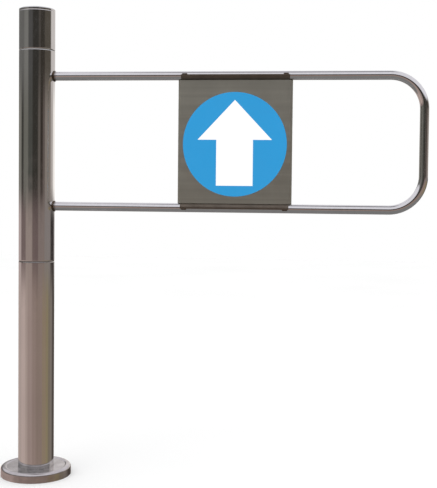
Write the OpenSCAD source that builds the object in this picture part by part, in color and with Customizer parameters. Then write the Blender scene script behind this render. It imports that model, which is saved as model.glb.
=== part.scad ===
// One-way swing gate for a visitor entrance: a floor post, a sprung gate arm that
// turns on two ball bearings round a fixed mast, and a stroke counter in the head.
// Origin: on the floor, on the axis of the post. +X runs along the closed arm,
// +Y is the way that visitors walk through, +Z is up. All sizes are in millimetres.

/* [Post] */
// Height of the whole post
post_h = 1000; // [900:5:1200]
// Outer diameter of the post, the turning sleeve and the head
post_d = 76; // [70:1:92]
// Wall of the post, sleeve and head tubes
post_wall = 2; // [1.5:0.1:2.5]
// Height of the joint between the fixed post and the turning sleeve
seam_low_z = 463; // [350:1:500]
// Distance from the top of the post down to the joint under the head
head_h = 88; // [86:1:130]
// Open height of each joint
seam_gap = 2; // [1.5:0.1:4]

/* [Base] */
// Thickness of the plate that is bolted to the floor
base_plate_t = 8; // [6:0.5:9]
// Diameter of each anchor hole
anchor_hole_d = 12; // [10:0.5:13]
// Number of anchor holes
anchor_count = 4; // [3:1:6]
// Diameter of the loose cover over the plate
base_cover_d = 150; // [140:1:220]
// Height of that cover
base_cover_h = 20; // [19:1:30]
// Thickness of the cover's sheet
base_cover_t = 1.5; // [1:0.1:2]
// Radius of the cover's rolled shoulder
base_cover_r = 6; // [4:0.5:8]

/* [Arm] */
// Distance from the post's axis to the far edge of the arm
arm_reach = 825; // [650:5:1000]
// Height of the arm's top rail, at its middle
arm_top_z = 858; // [800:1:870]
// Height of the arm's bottom rail, at its middle
arm_low_z = 581; // [520:1:620]
// Outer diameter of the arm's tube
arm_d = 19; // [16:0.5:22]
// Wall of the arm's tube
arm_wall = 1; // [0.8:0.1:2]
// Radius of the two bends, at the tube's middle
arm_bend_r = 70; // [50:1:90]
// Leg of the fillet welds between the rails and the sleeve
arm_weld = 3; // [2:0.5:4]
// How far the arm swings open
swing_deg = 90; // [60:5:100]

/* [Sign] */
// Width of the sign panel
panel_w = 240; // [180:5:300]
// Thickness of the folded panel
panel_t = 12; // [8:0.5:14]
// Sheet that the panel is folded from
panel_sheet = 1; // [0.8:0.1:1.5]
// Distance from the post's axis to the middle of the panel
panel_x = 426; // [300:1:500]
// Diameter of the blue disc
disc_d = 218; // [150:1:230]
// Thickness of the disc's film
film_t = 0.4; // [0.3:0.1:1]
// How far the disc's middle lies under the panel's middle
disc_drop = 5; // [0:0.5:10]
// Height of the arrow
arrow_h = 179; // [120:1:180]
// Width of the arrow's head
arrow_head_w = 156; // [100:1:158]
// Height of the arrow's head
arrow_head_h = 83; // [50:1:90]
// Width of the arrow's stem
arrow_stem_w = 77; // [40:1:90]
// How far the arrow's middle lies over the disc's middle
arrow_rise = 3; // [0:0.5:5]

/* [Mast and bearings] */
// Diameter of the mast, and bore of the lower bearing
mast_d = 40; // [33:1:46]
// Bore of the mast
mast_bore = 12; // [8:1:22]
// Diameter of the mast's turned top, and bore of the upper bearing
spigot_d = 30; // [28:1:31]
// Width of the lower bearing
low_bearing_w = 15; // [13:0.5:17]
// Width of the upper bearing
top_bearing_w = 13; // [11:0.5:14]

/* [Return spring and stops] */
// Wire of the return spring
spring_wire = 4.5; // [3:0.1:4.8]
// Room between the mast and the return spring's coils
spring_clear = 4.25; // [3.5:0.25:5]
// Turns of the return spring
spring_turns = 15; // [10:1:16]
// Gap between one turn of the return spring and the next
spring_gap = 0.7; // [0.4:0.1:1.2]
// Width of each stop lug, as an angle
lug_deg = 20; // [15:1:25]
// Thickness of each rubber bumper, as an angle
bumper_deg = 8; // [5:0.5:10]

/* [Counter drive] */
// Lift of the counting cam over the whole swing
cam_lift = 8; // [5:0.5:8]
// Distance from the post's axis to the plunger's axis
plunger_r = 27; // [26.5:0.1:27.5]
// Diameter of the plunger
plunger_d = 5; // [4:0.5:5]
// Diameter of the roller that runs on the cam
roller_d = 7; // [6:0.5:7]
// Width of that roller
roller_w = 5; // [4:0.5:5]
// Length of the counter's lever, from its shaft to the middle of its tip
lever_l = 16; // [15:0.5:17]

/* [Counter] */
// Size of the counter's case from front to back
case_x = 24; // [22:1:25]
// Length of the counter's case along its shaft
case_y = 36; // [34:1:37]
// Height of the counter's case
case_z = 26; // [25:1:28]
// Wall of the counter's case
case_wall = 1.5; // [1:0.1:2]
// Number of figure wheels
wheel_count = 5; // [4:1:5]
// Diameter of a figure wheel
wheel_d = 17; // [14:0.5:18]
// Width of a figure wheel
wheel_w = 5.6; // [4:0.1:5.8]
// Diameter of the counter's shaft
shaft_d = 4; // [3:0.5:4]

/* [Hidden] */
$fn = 96;
EPS = 0.01;
seat_gap = 0.05;         // between two pieces that are pressed or welded together
run_gap = 0.05;          // round a shaft that turns or slides in its bore
free_gap = 0.15;         // between pieces that pass without touching
fit_gap = 0.1;           // round a piece that is dropped into its recess

post_r = post_d / 2;
bore_r = post_r - post_wall;
insert_r = bore_r - seat_gap;
base_plate_d = base_cover_d - 10;
anchor_pcd = (post_d + base_plate_d) / 2 + 2;
arm_r = arm_d / 2;
mast_r = mast_d / 2;
spigot_r = spigot_d / 2;

// Loose cover over the base
cover_sink = 1;
cover_rim_w = 5;
cover_gap = 0.3;

// Levels, from the floor up
post_tube_top = seam_low_z - seam_gap / 2;
sleeve_z0 = seam_low_z + seam_gap / 2;
seam_top_z = post_h - head_h;
sleeve_z1 = seam_top_z - seam_gap / 2;
head_z0 = seam_top_z + seam_gap / 2;
cap_t = 6;
cap_plate_z = post_h - cap_t;

// Mast and the plugs that hold it in the post
plug_t = 12;
plug_top_z = post_tube_top - 10;
plug_low_z = plug_top_z - 110;
mast_z0 = plug_low_z - 20;
mast_z1 = head_z0 + 21;

// Bearings
low_bearing_d = 2 * bore_r - 4;
top_bearing_d = low_bearing_d - 13;
low_bearing_z = sleeve_z0 + 8;
lip_t = 4;
lip_w = 4;
housing_below = 2;
ball_share = 0.285;       // ball's diameter as a share of the difference of bore and outer diameter
ball_width_share = 0.54;  // the same as a share of the bearing's width
ball_spacing = 1.75;      // distance from ball to ball, in ball diameters
top_bearing_z = sleeve_z1 - 30 - top_bearing_w;
nut_h = 7;
nut_r = spigot_r + 7.5;
shoulder = 0.18;          // ring's shoulder height as a share of the bearing's section
groove_gap = fit_gap;
cage_inset = 2.2;

// Counting cam on top of the upper housing
cam_z = top_bearing_z + top_bearing_w + lip_t;
cam_t = 3;
cam_ri = nut_r + 1;
cam_ro = insert_r - 2;
plunger_azimuth = 225;
cam_lead = 6;             // extra ramp, in degrees, beyond each end of the swing
cam_step = 3;
ramp_z = cam_z + cam_t + 0.8;
ramp_half_w = 3;
cam_screw_azimuths = [-70, 0, 70];
cam_screw_hole_r = 1.6;
cam_screw_r = top_bearing_d / 2 + cam_screw_hole_r + 1.4;

// Roller and plunger
roller_r = roller_d / 2;
ramp_slope = atan(cam_lift / ((plunger_r - roller_w / 2) * PI * swing_deg / 180));
roller_z = ramp_z + roller_r / cos(ramp_slope) + 0.12;
fork_w = roller_w + 4.4;
fork_l = 6.4;
fork_drop = 2.2;
fork_crown = 7;
fork_top_z = roller_z + fork_crown;
pin_r = 1.5;

// Head base
head_base_t = 8;
hub_r = spigot_r + 5;
hub_h = 14;
hub_screw_r = 2.5;
hub_screw_azimuths = [0, 120, 240];
head_base_top = head_z0 + head_base_t;
hub_top = head_base_top + hub_h;
oring_r = 1.2;
oring_z = head_z0 + head_base_t / 2;
bush_r = plunger_d / 2 + 1.5;
bush_flange_r = bush_r + 1.8;

// Counter, sitting on its bracket on the hub
bracket_t = 1.5;
small_screw_r = 1;
foot_screw_y = (hub_r + spigot_r) / 2;
shaft_r = shaft_d / 2;
case_z0 = hub_top + bracket_t;
shaft_z = case_z0 + case_z / 2 + 1;
plunger_x = plunger_r * cos(plunger_azimuth);
plunger_y = plunger_r * sin(plunger_azimuth);
shaft_x = plunger_x + lever_l;
case_y0 = plunger_y + 5;
case_mid_y = case_y0 + case_y / 2;
case_x0 = shaft_x - case_x / 2;
ear_h = 16;
ear_y0 = case_y0 + 8;
ear_w = case_y - 14;
ear_mid_y = ear_y0 + ear_w / 2;
ear_screw_z = hub_top + 10;
lever_swing = 2 * asin(cam_lift / 2 / lever_l);
lever_t = 4;
lever_tip_r = 2.5;
pad_r = 3;
pad_t = 2;
plunger_top_z = shaft_z - cam_lift / 2 - lever_tip_r - free_gap - pad_t;
wheel_pitch = wheel_w + 0.5;
knob_y = case_y0 + case_y + 0.5;
knob_h = 6.5;
window_l = wheel_count * wheel_pitch - 2;
window_w = 9;

// Return spring and stops
spring_r = mast_r + spring_clear + spring_wire / 2;
spring_pitch = spring_wire + spring_gap;
spring_z0 = arm_low_z + 6;
spring_z1 = spring_z0 + spring_turns * spring_pitch;
spring_leg = 14;
spring_collar_h = 20;
leg_bend = 1.5 * spring_wire;
spring_collar_top = spring_z0 - leg_bend - 0.5;
spring_ring_z = spring_z1 + leg_bend + 0.5;
spring_ring_h = 10;
leg_gap = 0.4;
collar_screw_r = 3;
collar_screw_azimuths = [90, 210];
stop_z = spring_ring_z + 54;
stop_h = 36;
stop_collar_r = mast_r + 4;
lug_h = 16;
lug_azimuth = 150;
lug_ri = stop_collar_r + 1;
lug_ro = insert_r - 3;
stop_offset = lug_deg + bumper_deg;
bolt_r = 4;
stop_bolt_z = stop_z + 8;

// Sign panel
panel_z0 = arm_low_z + arm_r + seat_gap;
panel_z1 = arm_top_z - arm_r - seat_gap;
panel_h = panel_z1 - panel_z0;
panel_mid_z = (panel_z0 + panel_z1) / 2;
disc_z = panel_mid_z - disc_drop;
saddle_ri = arm_r + seat_gap;
saddle_ro = saddle_ri + panel_sheet;
saddle_l = panel_w - panel_t;
saddle_wrap = 2;          // how far a saddle reaches past the rail's middle
tack_r = 1.6;
tack_l = 8;
tack_deg = 17;            // from the rail's middle to a tack

// ---- Shapes that repeat ----

// A tube standing on z = 0.
module tube(ro, ri, h) {
    difference() {
        cylinder(r = ro, h = h);
        translate([0, 0, -1]) cylinder(r = ri, h = h + 2);
    }
}

// A ring sector standing on z = 0, centred on the given azimuth.
module sector(ri, ro, h, azimuth, width) {
    rotate([0, 0, azimuth - width / 2])
        rotate_extrude(angle = width) translate([ri, 0]) square([ro - ri, h]);
}

// A cylinder that points outwards along the given azimuth, from r0 to r1.
module spoke(r, r0, r1, azimuth, z) {
    translate([0, 0, z]) rotate([0, 0, azimuth]) translate([r0, 0, 0])
        rotate([0, 90, 0]) cylinder(r = r, h = r1 - r0);
}

// A cylinder along X, from x0 to x1, on the line through y and z.
module spoke_x(r, x0, x1, y, z) {
    translate([x0, y, z]) rotate([0, 90, 0]) cylinder(r = r, h = x1 - x0);
}

// A solid ring with a round section.
module torus(ring_r, section_r) {
    rotate_extrude() translate([ring_r, 0]) circle(r = section_r);
}

// A grub screw with a plain socket in its outer end.
module set_screw(r, r0, r1, azimuth, z) {
    difference() {
        spoke(r - seat_gap, r0, r1, azimuth, z);
        spoke(r / 2, r1 - r, r1 + 1, azimuth, z);
    }
}

// The path of a coil with an upright leg at each end, as [azimuth, radius, height] points.
function coil_path(r, z0, pitch, turns, steps, bend, leg) = concat(
    leg == 0 ? [] : [for (t = [0, 1]) [-bend / r * 180 / PI, r, z0 - bend - leg * (1 - t)]],
    leg == 0 ? [] : [for (a = [22.5:22.5:67.5])
        [-bend * cos(a) / r * 180 / PI, r, z0 - bend + bend * sin(a)]],
    [for (i = [0:turns * steps]) [360 * i / steps, r, z0 + pitch * i / steps]],
    leg == 0 ? [] : [for (a = [22.5:22.5:67.5])
        [360 * turns + bend * sin(a) / r * 180 / PI, r, z0 + pitch * turns + bend * (1 - cos(a))]],
    leg == 0 ? [] : [for (t = [0, 1])
        [360 * turns + bend / r * 180 / PI, r, z0 + pitch * turns + bend + leg * t]]);
function at(p) = [p[1] * cos(p[0]), p[1] * sin(p[0]), p[2]];
function unit(v) = v / norm(v);

// A round wire swept along such a path.
module wire(path, wire_r, sides) {
    n = len(path);
    points = [for (i = [0:n - 1]) let (
            p = at(path[i]),
            before = at(path[max(i - 1, 0)]),
            after = at(path[min(i + 1, n - 1)]),
            along = unit(after - before),
            radial = [cos(path[i][0]), sin(path[i][0]), 0],
            out = unit(radial - (radial * along) * along),
            side = cross(along, out))
        for (k = [0:sides - 1]) p + wire_r * (cos(360 * k / sides) * out + sin(360 * k / sides) * side)];
    faces = concat(
        [[for (k = [sides - 1:-1:0]) k]],
        [for (i = [0:n - 2], k = [0:sides - 1]) let (k2 = (k + 1) % sides)
            [i * sides + k, i * sides + k2, (i + 1) * sides + k2, (i + 1) * sides + k]],
        [[for (k = [0:sides - 1]) (n - 1) * sides + k]]);
    polyhedron(points, [for (f = faces) [for (j = [len(f) - 1:-1:0]) f[j]]], convexity = 10);
}

// ---- A ball bearing, one module per ring, standing on z = 0 ----

function pitch_r(bore, od) = (bore + od) / 4;
function ball_r(bore, od, w) = min(ball_share * (od - bore), ball_width_share * w) / 2;
function ball_count(bore, od, w) = floor(PI * pitch_r(bore, od) / (ball_r(bore, od, w) * ball_spacing));

module bearing_inner(bore, od, w) {
    section = (od - bore) / 2;
    difference() {
        tube(bore / 2 + section * 0.5 - section * shoulder, bore / 2 + seat_gap / 2, w);
        translate([0, 0, w / 2]) torus(pitch_r(bore, od), ball_r(bore, od, w) + groove_gap);
    }
}

module bearing_outer(bore, od, w) {
    section = (od - bore) / 2;
    difference() {
        tube(od / 2, od / 2 - section * 0.5 + section * shoulder, w);
        translate([0, 0, w / 2]) torus(pitch_r(bore, od), ball_r(bore, od, w) + groove_gap);
    }
}

module bearing_cage(bore, od, w) {
    rp = pitch_r(bore, od);
    pocket_r = ball_r(bore, od, w) + groove_gap;
    half_h = w / 2 - cage_inset;
    difference() {
        translate([0, 0, w / 2 - half_h]) tube(rp + 1.2, rp - 1.2, 2 * half_h);
        for (i = [0:ball_count(bore, od, w) - 1])
            spoke(pocket_r, rp - 3, rp + 3, 360 * i / ball_count(bore, od, w), w / 2);
    }
}

module bearing_balls(bore, od, w) {
    for (i = [0:ball_count(bore, od, w) - 1]) rotate([0, 0, 360 * i / ball_count(bore, od, w)])
        translate([pitch_r(bore, od), 0, w / 2]) sphere(r = ball_r(bore, od, w));
}

// ---- Base ----

module base_plate() {
    color("gray") difference() {
        cylinder(r = base_plate_d / 2, h = base_plate_t);
        for (i = [0:anchor_count - 1]) rotate([0, 0, 360 * (i + 0.5) / anchor_count])
            translate([anchor_pcd / 2, 0, -1]) cylinder(d = anchor_hole_d, h = base_plate_t + 2);
    }
}

module base_weld() {
    leg = 4.5;
    foot_r = post_r + seat_gap;
    color("dimgray") translate([0, 0, base_plate_t])
        rotate_extrude() polygon([[foot_r, 0], [foot_r + leg, 0], [foot_r, leg]]);
}

// A solid disc's half outline with a rounded upper edge.
module shouldered(ro, h, rr) {
    square([ro - rr, h]);
    square([ro, h - rr]);
    translate([ro - rr, h - rr]) circle(r = rr);
}

// The pressed cover: a skirt, a rolled shoulder and a top whose middle is slightly sunk.
module base_cover() {
    ro = base_cover_d / 2;
    t = base_cover_t;
    sunk_r = ro - base_cover_r - cover_rim_w;
    color("silver") rotate_extrude() difference() {
        shouldered(ro, base_cover_h, base_cover_r);
        shouldered(ro - t, base_cover_h - t - cover_sink, base_cover_r - t);
        translate([0, -1]) square([ro - t, 2]);
        translate([0, base_cover_h - cover_sink]) square([sunk_r, base_cover_h]);
        translate([0, -1]) square([post_r + cover_gap, base_cover_h + 2]);
    }
}

// ---- Fixed post and mast ----

module post_tube() {
    color("silver") translate([0, 0, base_plate_t]) tube(post_r, bore_r, post_tube_top - base_plate_t);
}

module mast_plugs() {
    color("gray") for (z = [plug_low_z, plug_top_z - plug_t]) translate([0, 0, z])
        tube(insert_r, mast_r + seat_gap, plug_t);
}

module mast() {
    step_z = top_bearing_z;
    color("gray") difference() {
        union() {
            translate([0, 0, mast_z0]) cylinder(r = mast_r, h = step_z - mast_z0);
            translate([0, 0, step_z - EPS]) cylinder(r = spigot_r, h = mast_z1 - step_z + EPS);
        }
        translate([0, 0, mast_z0 - 1]) cylinder(d = mast_bore, h = mast_z1 - mast_z0 + 2);
        spoke(bolt_r + seat_gap, -mast_r - 1, mast_r + 1, lug_azimuth + 90, stop_bolt_z);
    }
}

module spacer() {
    color("darkgray") translate([0, 0, plug_top_z])
        tube(mast_r + 3.5, mast_r + seat_gap, low_bearing_z - plug_top_z);
}

// A slip ring that fills a joint, with a spigot that centres it in the tube.
module seam_ring(z, spigot_up) {
    ring_t = seam_gap - 0.2;
    spigot_h = 6;
    ring_ri = bore_r - 3;
    color("dimgray") translate([0, 0, z]) {
        tube(post_r - 0.8, ring_ri, ring_t);
        if (!spigot_up) translate([0, 0, -spigot_h]) tube(insert_r, ring_ri, spigot_h + EPS);
    }
}

module seam_ring_low() { seam_ring(post_tube_top, false); }
module seam_ring_top() { seam_ring(head_z0 - seam_gap + 0.2, true); }

// ---- Bearings ----

module low_bearing_inner() {
    color("lightgray") translate([0, 0, low_bearing_z])
        bearing_inner(mast_d, low_bearing_d, low_bearing_w);
}

module low_bearing_outer() {
    color("lightgray") translate([0, 0, low_bearing_z])
        bearing_outer(mast_d, low_bearing_d, low_bearing_w);
}

module low_bearing_cage() {
    color("goldenrod") translate([0, 0, low_bearing_z])
        bearing_cage(mast_d, low_bearing_d, low_bearing_w);
}

module low_bearing_balls() {
    color("white") translate([0, 0, low_bearing_z])
        bearing_balls(mast_d, low_bearing_d, low_bearing_w);
}

// Two rubber seals, held in the outer ring.
module low_bearing_seals() {
    section = (low_bearing_d - mast_d) / 2;
    seal_ro = low_bearing_d / 2 - section * 0.5 + section * shoulder - seat_gap;
    seal_ri = mast_r + section * 0.5 - section * shoulder + free_gap;
    for (z = [0.3, low_bearing_w - 1.1]) color("black") translate([0, 0, low_bearing_z + z])
        tube(seal_ro, seal_ri, 0.8);
}

module top_bearing_inner() {
    color("lightgray") translate([0, 0, top_bearing_z])
        bearing_inner(spigot_d, top_bearing_d, top_bearing_w);
}

module top_bearing_outer() {
    color("lightgray") translate([0, 0, top_bearing_z])
        bearing_outer(spigot_d, top_bearing_d, top_bearing_w);
}

module top_bearing_cage() {
    color("goldenrod") translate([0, 0, top_bearing_z])
        bearing_cage(spigot_d, top_bearing_d, top_bearing_w);
}

module top_bearing_balls() {
    color("white") translate([0, 0, top_bearing_z])
        bearing_balls(spigot_d, top_bearing_d, top_bearing_w);
}

// A ring welded in the sleeve: a bore for the bearing's outer ring, and a lip that rests on it.
module housing(bearing_z, bearing_d, bearing_w, lip_ri, screw_rs) {
    color("gray") difference() {
        translate([0, 0, bearing_z - housing_below])
            cylinder(r = insert_r, h = bearing_w + housing_below + lip_t);
        translate([0, 0, bearing_z - housing_below - 1])
            cylinder(r = bearing_d / 2 + seat_gap / 2, h = bearing_w + housing_below + 1);
        translate([0, 0, bearing_z]) cylinder(r = lip_ri, h = bearing_w + lip_t + 1);
        for (a = screw_rs) rotate([0, 0, a]) translate([cam_screw_r, 0, bearing_z + bearing_w - 6])
            cylinder(r = cam_screw_hole_r, h = lip_t + 7);
    }
}

module low_housing() { housing(low_bearing_z, low_bearing_d, low_bearing_w, low_bearing_d / 2 - lip_w, []); }

module top_housing() {
    housing(top_bearing_z, top_bearing_d, top_bearing_w, top_bearing_d / 2 - lip_w, cam_screw_azimuths);
}

module mast_nut() {
    slot_w = 5;
    slot_depth = 2;
    color("darkslategray") translate([0, 0, top_bearing_z + top_bearing_w]) difference() {
        tube(nut_r, spigot_r + seat_gap, nut_h);
        for (a = [0:90:270]) rotate([0, 0, a]) translate([nut_r - slot_depth, -slot_w / 2, -1])
            cube([2 * slot_depth, slot_w, nut_h + 2]);
    }
}

// ---- Return spring and stops ----

module spring_collar() {
    collar_z = spring_collar_top - spring_collar_h;
    color("gray") difference() {
        translate([0, 0, collar_z]) tube(spring_r + spring_wire / 2 + 2, mast_r + seat_gap, spring_collar_h);
        rotate([0, 0, -leg_bend / spring_r * 180 / PI]) translate([spring_r, 0, collar_z - 1])
            cylinder(r = spring_wire / 2 + leg_gap, h = spring_collar_h + 2);
        for (a = collar_screw_azimuths)
            spoke(collar_screw_r, mast_r - 1, spring_r + 2 * spring_wire, a, collar_z + spring_collar_h / 2);
    }
}

// Set screws that clamp the spring's collar and the head base on the mast.
module set_screws() {
    collar_z = spring_collar_top - spring_collar_h / 2;
    hub_z = hub_top - hub_h / 2;
    color("black") {
        for (a = collar_screw_azimuths)
            set_screw(collar_screw_r, mast_r + seat_gap, spring_r + 1, a, collar_z);
        for (a = hub_screw_azimuths)
            set_screw(hub_screw_r, spigot_r + seat_gap, hub_r - 0.2, a, hub_z);
    }
}

module return_spring() {
    path = coil_path(spring_r, spring_z0, spring_pitch, spring_turns, 16, leg_bend, spring_leg);
    color("slategray") wire(path, spring_wire / 2, 8);
}

module spring_ring() {
    color("gray") difference() {
        translate([0, 0, spring_ring_z]) tube(insert_r, mast_r + 2, spring_ring_h);
        rotate([0, 0, leg_bend / spring_r * 180 / PI]) translate([spring_r, 0, spring_ring_z - 1])
            cylinder(r = spring_wire / 2 + leg_gap, h = spring_ring_h + 2);
    }
}

// The collar bolted through the mast, with a lug at each end of the swing.
module stop_collar() {
    color("gray") difference() {
        union() {
            translate([0, 0, stop_z]) cylinder(r = stop_collar_r, h = stop_h);
            for (a = [lug_azimuth - stop_offset, lug_azimuth + swing_deg + stop_offset])
                translate([0, 0, stop_z + stop_h - lug_h]) sector(mast_r + 2, lug_ro, lug_h, a, lug_deg);
        }
        translate([0, 0, stop_z - 1]) cylinder(r = mast_r + seat_gap, h = stop_h + 2);
        spoke(bolt_r + seat_gap, -stop_collar_r - 2, stop_collar_r + 2, lug_azimuth + 90, stop_bolt_z);
    }
}

module stop_bolt() {
    hex_r = 7;
    hex_h = 5;
    grip = 2 * stop_collar_r;
    color("darkslategray") translate([0, 0, stop_bolt_z]) rotate([0, 90, lug_azimuth + 90])
        translate([0, 0, -stop_collar_r]) {
            cylinder(r = bolt_r, h = grip + 1);
            translate([0, 0, -hex_h]) cylinder(r = hex_r, h = hex_h, $fn = 6);
            translate([0, 0, grip]) cylinder(r = hex_r, h = hex_h, $fn = 6);
        }
}

module stop_bumpers() {
    inset = 0.3;
    side = lug_deg / 2 + bumper_deg / 2;
    for (a = [lug_azimuth - stop_offset + side, lug_azimuth + swing_deg + stop_offset - side])
        color("black") translate([0, 0, stop_z + stop_h - lug_h + 2])
            sector(lug_ri + 0.5, lug_ro - 0.5, lug_h - 4, a, bumper_deg - 2 * inset);
}

module limit_ring() {
    color("gray") translate([0, 0, stop_z + stop_h - lug_h]) union() {
        tube(insert_r, lug_ro + 1, lug_h);
        translate([0, 0, 1]) sector(lug_ri, lug_ro + 2, lug_h - 2, lug_azimuth, lug_deg);
    }
}

// ---- Turning sleeve, arm and sign ----

module gate_sleeve() {
    color("silver") difference() {
        translate([0, 0, sleeve_z0]) tube(post_r, bore_r, sleeve_z1 - sleeve_z0);
        for (z = [arm_low_z, arm_top_z]) spoke(arm_r + seat_gap, bore_r - 6, post_r + 6, 0, z);
    }
}

// The arm's run as one solid rod of radius r, from inside the sleeve's wall round both bends and back.
module arm_run(r, x0) {
    bend_x = arm_reach - arm_r - arm_bend_r;
    for (z = [arm_low_z, arm_top_z]) spoke(r, x0, bend_x, 0, z);
    translate([bend_x, 0, arm_top_z - arm_bend_r]) rotate([90, 0, 0])
        rotate_extrude(angle = 90) translate([arm_bend_r, 0]) circle(r = r);
    translate([bend_x, 0, arm_low_z + arm_bend_r]) rotate([90, 0, 0]) rotate([0, 0, -90])
        rotate_extrude(angle = 90) translate([arm_bend_r, 0]) circle(r = r);
    translate([arm_reach - arm_r, 0, arm_low_z + arm_bend_r])
        cylinder(r = r, h = arm_top_z - arm_low_z - 2 * arm_bend_r);
}

module arm_tube() {
    arm_x0 = bore_r + 0.3;
    color("silver") difference() {
        arm_run(arm_r, arm_x0);
        arm_run(arm_r - arm_wall, arm_x0 - 1);
    }
}

// A bead round each rail where it meets the sleeve.
module arm_welds() {
    bead_x0 = post_r - 2.7;
    bead_l = arm_weld + 2.7 + 1.3;
    for (z = [arm_low_z, arm_top_z]) color("gray") difference() {
        translate([bead_x0, 0, z]) rotate([0, 90, 0])
            cylinder(r1 = arm_r + arm_weld + 1.6, r2 = arm_r + 0.2, h = bead_l);
        spoke(arm_r + seat_gap, bead_x0 - 1, bead_x0 + bead_l + 1, 0, z);
        translate([0, 0, z - 2 * arm_d]) cylinder(r = post_r + seat_gap, h = 4 * arm_d);
    }
}

// The panel's outline seen from above: flat faces with round edges.
module panel_outline(inset) {
    r = panel_t / 2 - inset;
    square([panel_w - panel_t, 2 * r], center = true);
    for (s = [-1, 1]) translate([s * (panel_w - panel_t) / 2, 0]) circle(r = r);
}

module sign_panel() {
    color("silver") translate([panel_x, 0, panel_z0]) linear_extrude(panel_h) difference() {
        panel_outline(0);
        panel_outline(panel_sheet);
    }
}

module panel_ends() {
    color("silver") for (z = [panel_z0, panel_z1 - panel_sheet]) translate([panel_x, 0, z])
        linear_extrude(panel_sheet) panel_outline(panel_sheet + seat_gap);
}

// Puts its children on a rail at the panel's middle, with local X across, local Y towards the panel and
// local Z along the rail.
module at_rail(top) {
    translate([panel_x, 0, top ? arm_top_z : arm_low_z]) rotate([top ? 180 : 0, 0, 0])
        rotate([90, 0, 90]) children();
}

// The section of both strips of one saddle, which is split where the panel stands.
module saddle_outline(grow) {
    difference() {
        circle(r = saddle_ro + grow);
        circle(r = saddle_ri - grow);
        translate([-arm_d, -saddle_wrap - grow - 2 * arm_d]) square(2 * arm_d);
        translate([-arm_d, arm_r + grow]) square(2 * arm_d);
    }
}

// Rolled strips that carry the panel's edges on round the rails.
module panel_saddles() {
    for (top = [false, true]) color("silver") at_rail(top)
        translate([0, 0, -saddle_l / 2]) linear_extrude(saddle_l) saddle_outline(0);
}

// Short weld beads along the saddles' free edges, near the panel's corners.
module panel_tacks() {
    for (top = [false, true], sx = [-1, 1], side = [0, 180]) color("gray") at_rail(top) difference() {
        translate([0, 0, sx * (saddle_l / 2 - tack_l) - tack_l / 2]) rotate([0, 0, side])
            rotate([0, 0, side == 0 ? -tack_deg : tack_deg]) translate([arm_r + 0.4, 0, 0]) {
                cylinder(r = tack_r, h = tack_l);
                for (z = [0, tack_l]) translate([0, 0, z]) sphere(r = tack_r);
            }
        translate([0, 0, -panel_w]) cylinder(r = arm_r + EPS, h = 2 * panel_w);
        translate([0, 0, -saddle_l / 2 - EPS]) linear_extrude(saddle_l + 2 * EPS)
            saddle_outline(seat_gap / 2);
    }
}

module arrow_outline() {
    tip = arrow_h / 2;
    neck = tip - arrow_head_h;
    polygon([[0, tip], [-arrow_head_w / 2, neck], [-arrow_stem_w / 2, neck], [-arrow_stem_w / 2, -tip],
        [arrow_stem_w / 2, -tip], [arrow_stem_w / 2, neck], [arrow_head_w / 2, neck]]);
}

module sign_disc() {
    color("deepskyblue") translate([panel_x, -panel_t / 2, disc_z]) rotate([90, 0, 0])
        linear_extrude(film_t) difference() {
            circle(d = disc_d);
            translate([0, arrow_rise]) arrow_outline();
        }
}

module sign_arrow() {
    color("white") translate([panel_x, -panel_t / 2, disc_z + arrow_rise]) rotate([90, 0, 0])
        linear_extrude(film_t) arrow_outline();
}

// ---- Counting cam, roller and plunger ----

// Height of the ramp over its zero level at a given azimuth.
function ramp_h(azimuth) = cam_lift * (plunger_azimuth - azimuth) / swing_deg;

module ramp() {
    a0 = plunger_azimuth - swing_deg - cam_lead;
    a1 = plunger_azimuth + cam_lead;
    n = ceil((a1 - a0) / cam_step);
    ri = plunger_r - ramp_half_w;
    ro = plunger_r + ramp_half_w;
    base_z = cam_z + cam_t - 0.5;
    points = [for (i = [0:n]) let (a = a0 + (a1 - a0) * i / n, top = ramp_z + ramp_h(a))
        each [[ri * cos(a), ri * sin(a), base_z], [ro * cos(a), ro * sin(a), base_z],
            [ro * cos(a), ro * sin(a), top], [ri * cos(a), ri * sin(a), top]]];
    faces = concat([[3, 2, 1, 0]],
        [for (i = [0:n - 1], k = [0:3]) let (k2 = (k + 1) % 4)
            [4 * i + k2, 4 * i + 4 + k2, 4 * i + 4 + k, 4 * i + k]],
        [[4 * n, 4 * n + 1, 4 * n + 2, 4 * n + 3]]);
    polyhedron(points, faces, convexity = 6);
}

module count_cam() {
    color("darkgray") union() {
        difference() {
            translate([0, 0, cam_z]) tube(cam_ro, cam_ri, cam_t);
            for (a = cam_screw_azimuths) rotate([0, 0, a]) translate([cam_screw_r, 0, cam_z - 1])
                cylinder(r = cam_screw_hole_r, h = cam_t + 2);
        }
        ramp();
    }
}

module cam_screws() {
    color("black") for (a = cam_screw_azimuths) rotate([0, 0, a]) translate([cam_screw_r, 0, cam_z + cam_t])
        difference() {
            union() {
                translate([0, 0, -cam_t - 6]) cylinder(r = cam_screw_hole_r - 0.1, h = cam_t + 7);
                cylinder(r = 2.75, h = 3);
            }
            translate([0, 0, 1.5]) cylinder(r = 1.4, h = 2, $fn = 6);
        }
}

// Turns its children so that local X points outwards at the plunger.
module at_plunger(z) {
    rotate([0, 0, plunger_azimuth]) translate([plunger_r, 0, z]) children();
}

module cam_roller() {
    color("lightgray") at_plunger(roller_z) rotate([0, 90, 0]) translate([0, 0, -roller_w / 2])
        tube(roller_r, pin_r + run_gap, roller_w);
}

module roller_pin() {
    color("gray") at_plunger(roller_z) rotate([0, 90, 0]) translate([0, 0, -fork_w / 2])
        cylinder(r = pin_r, h = fork_w);
}

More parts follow.
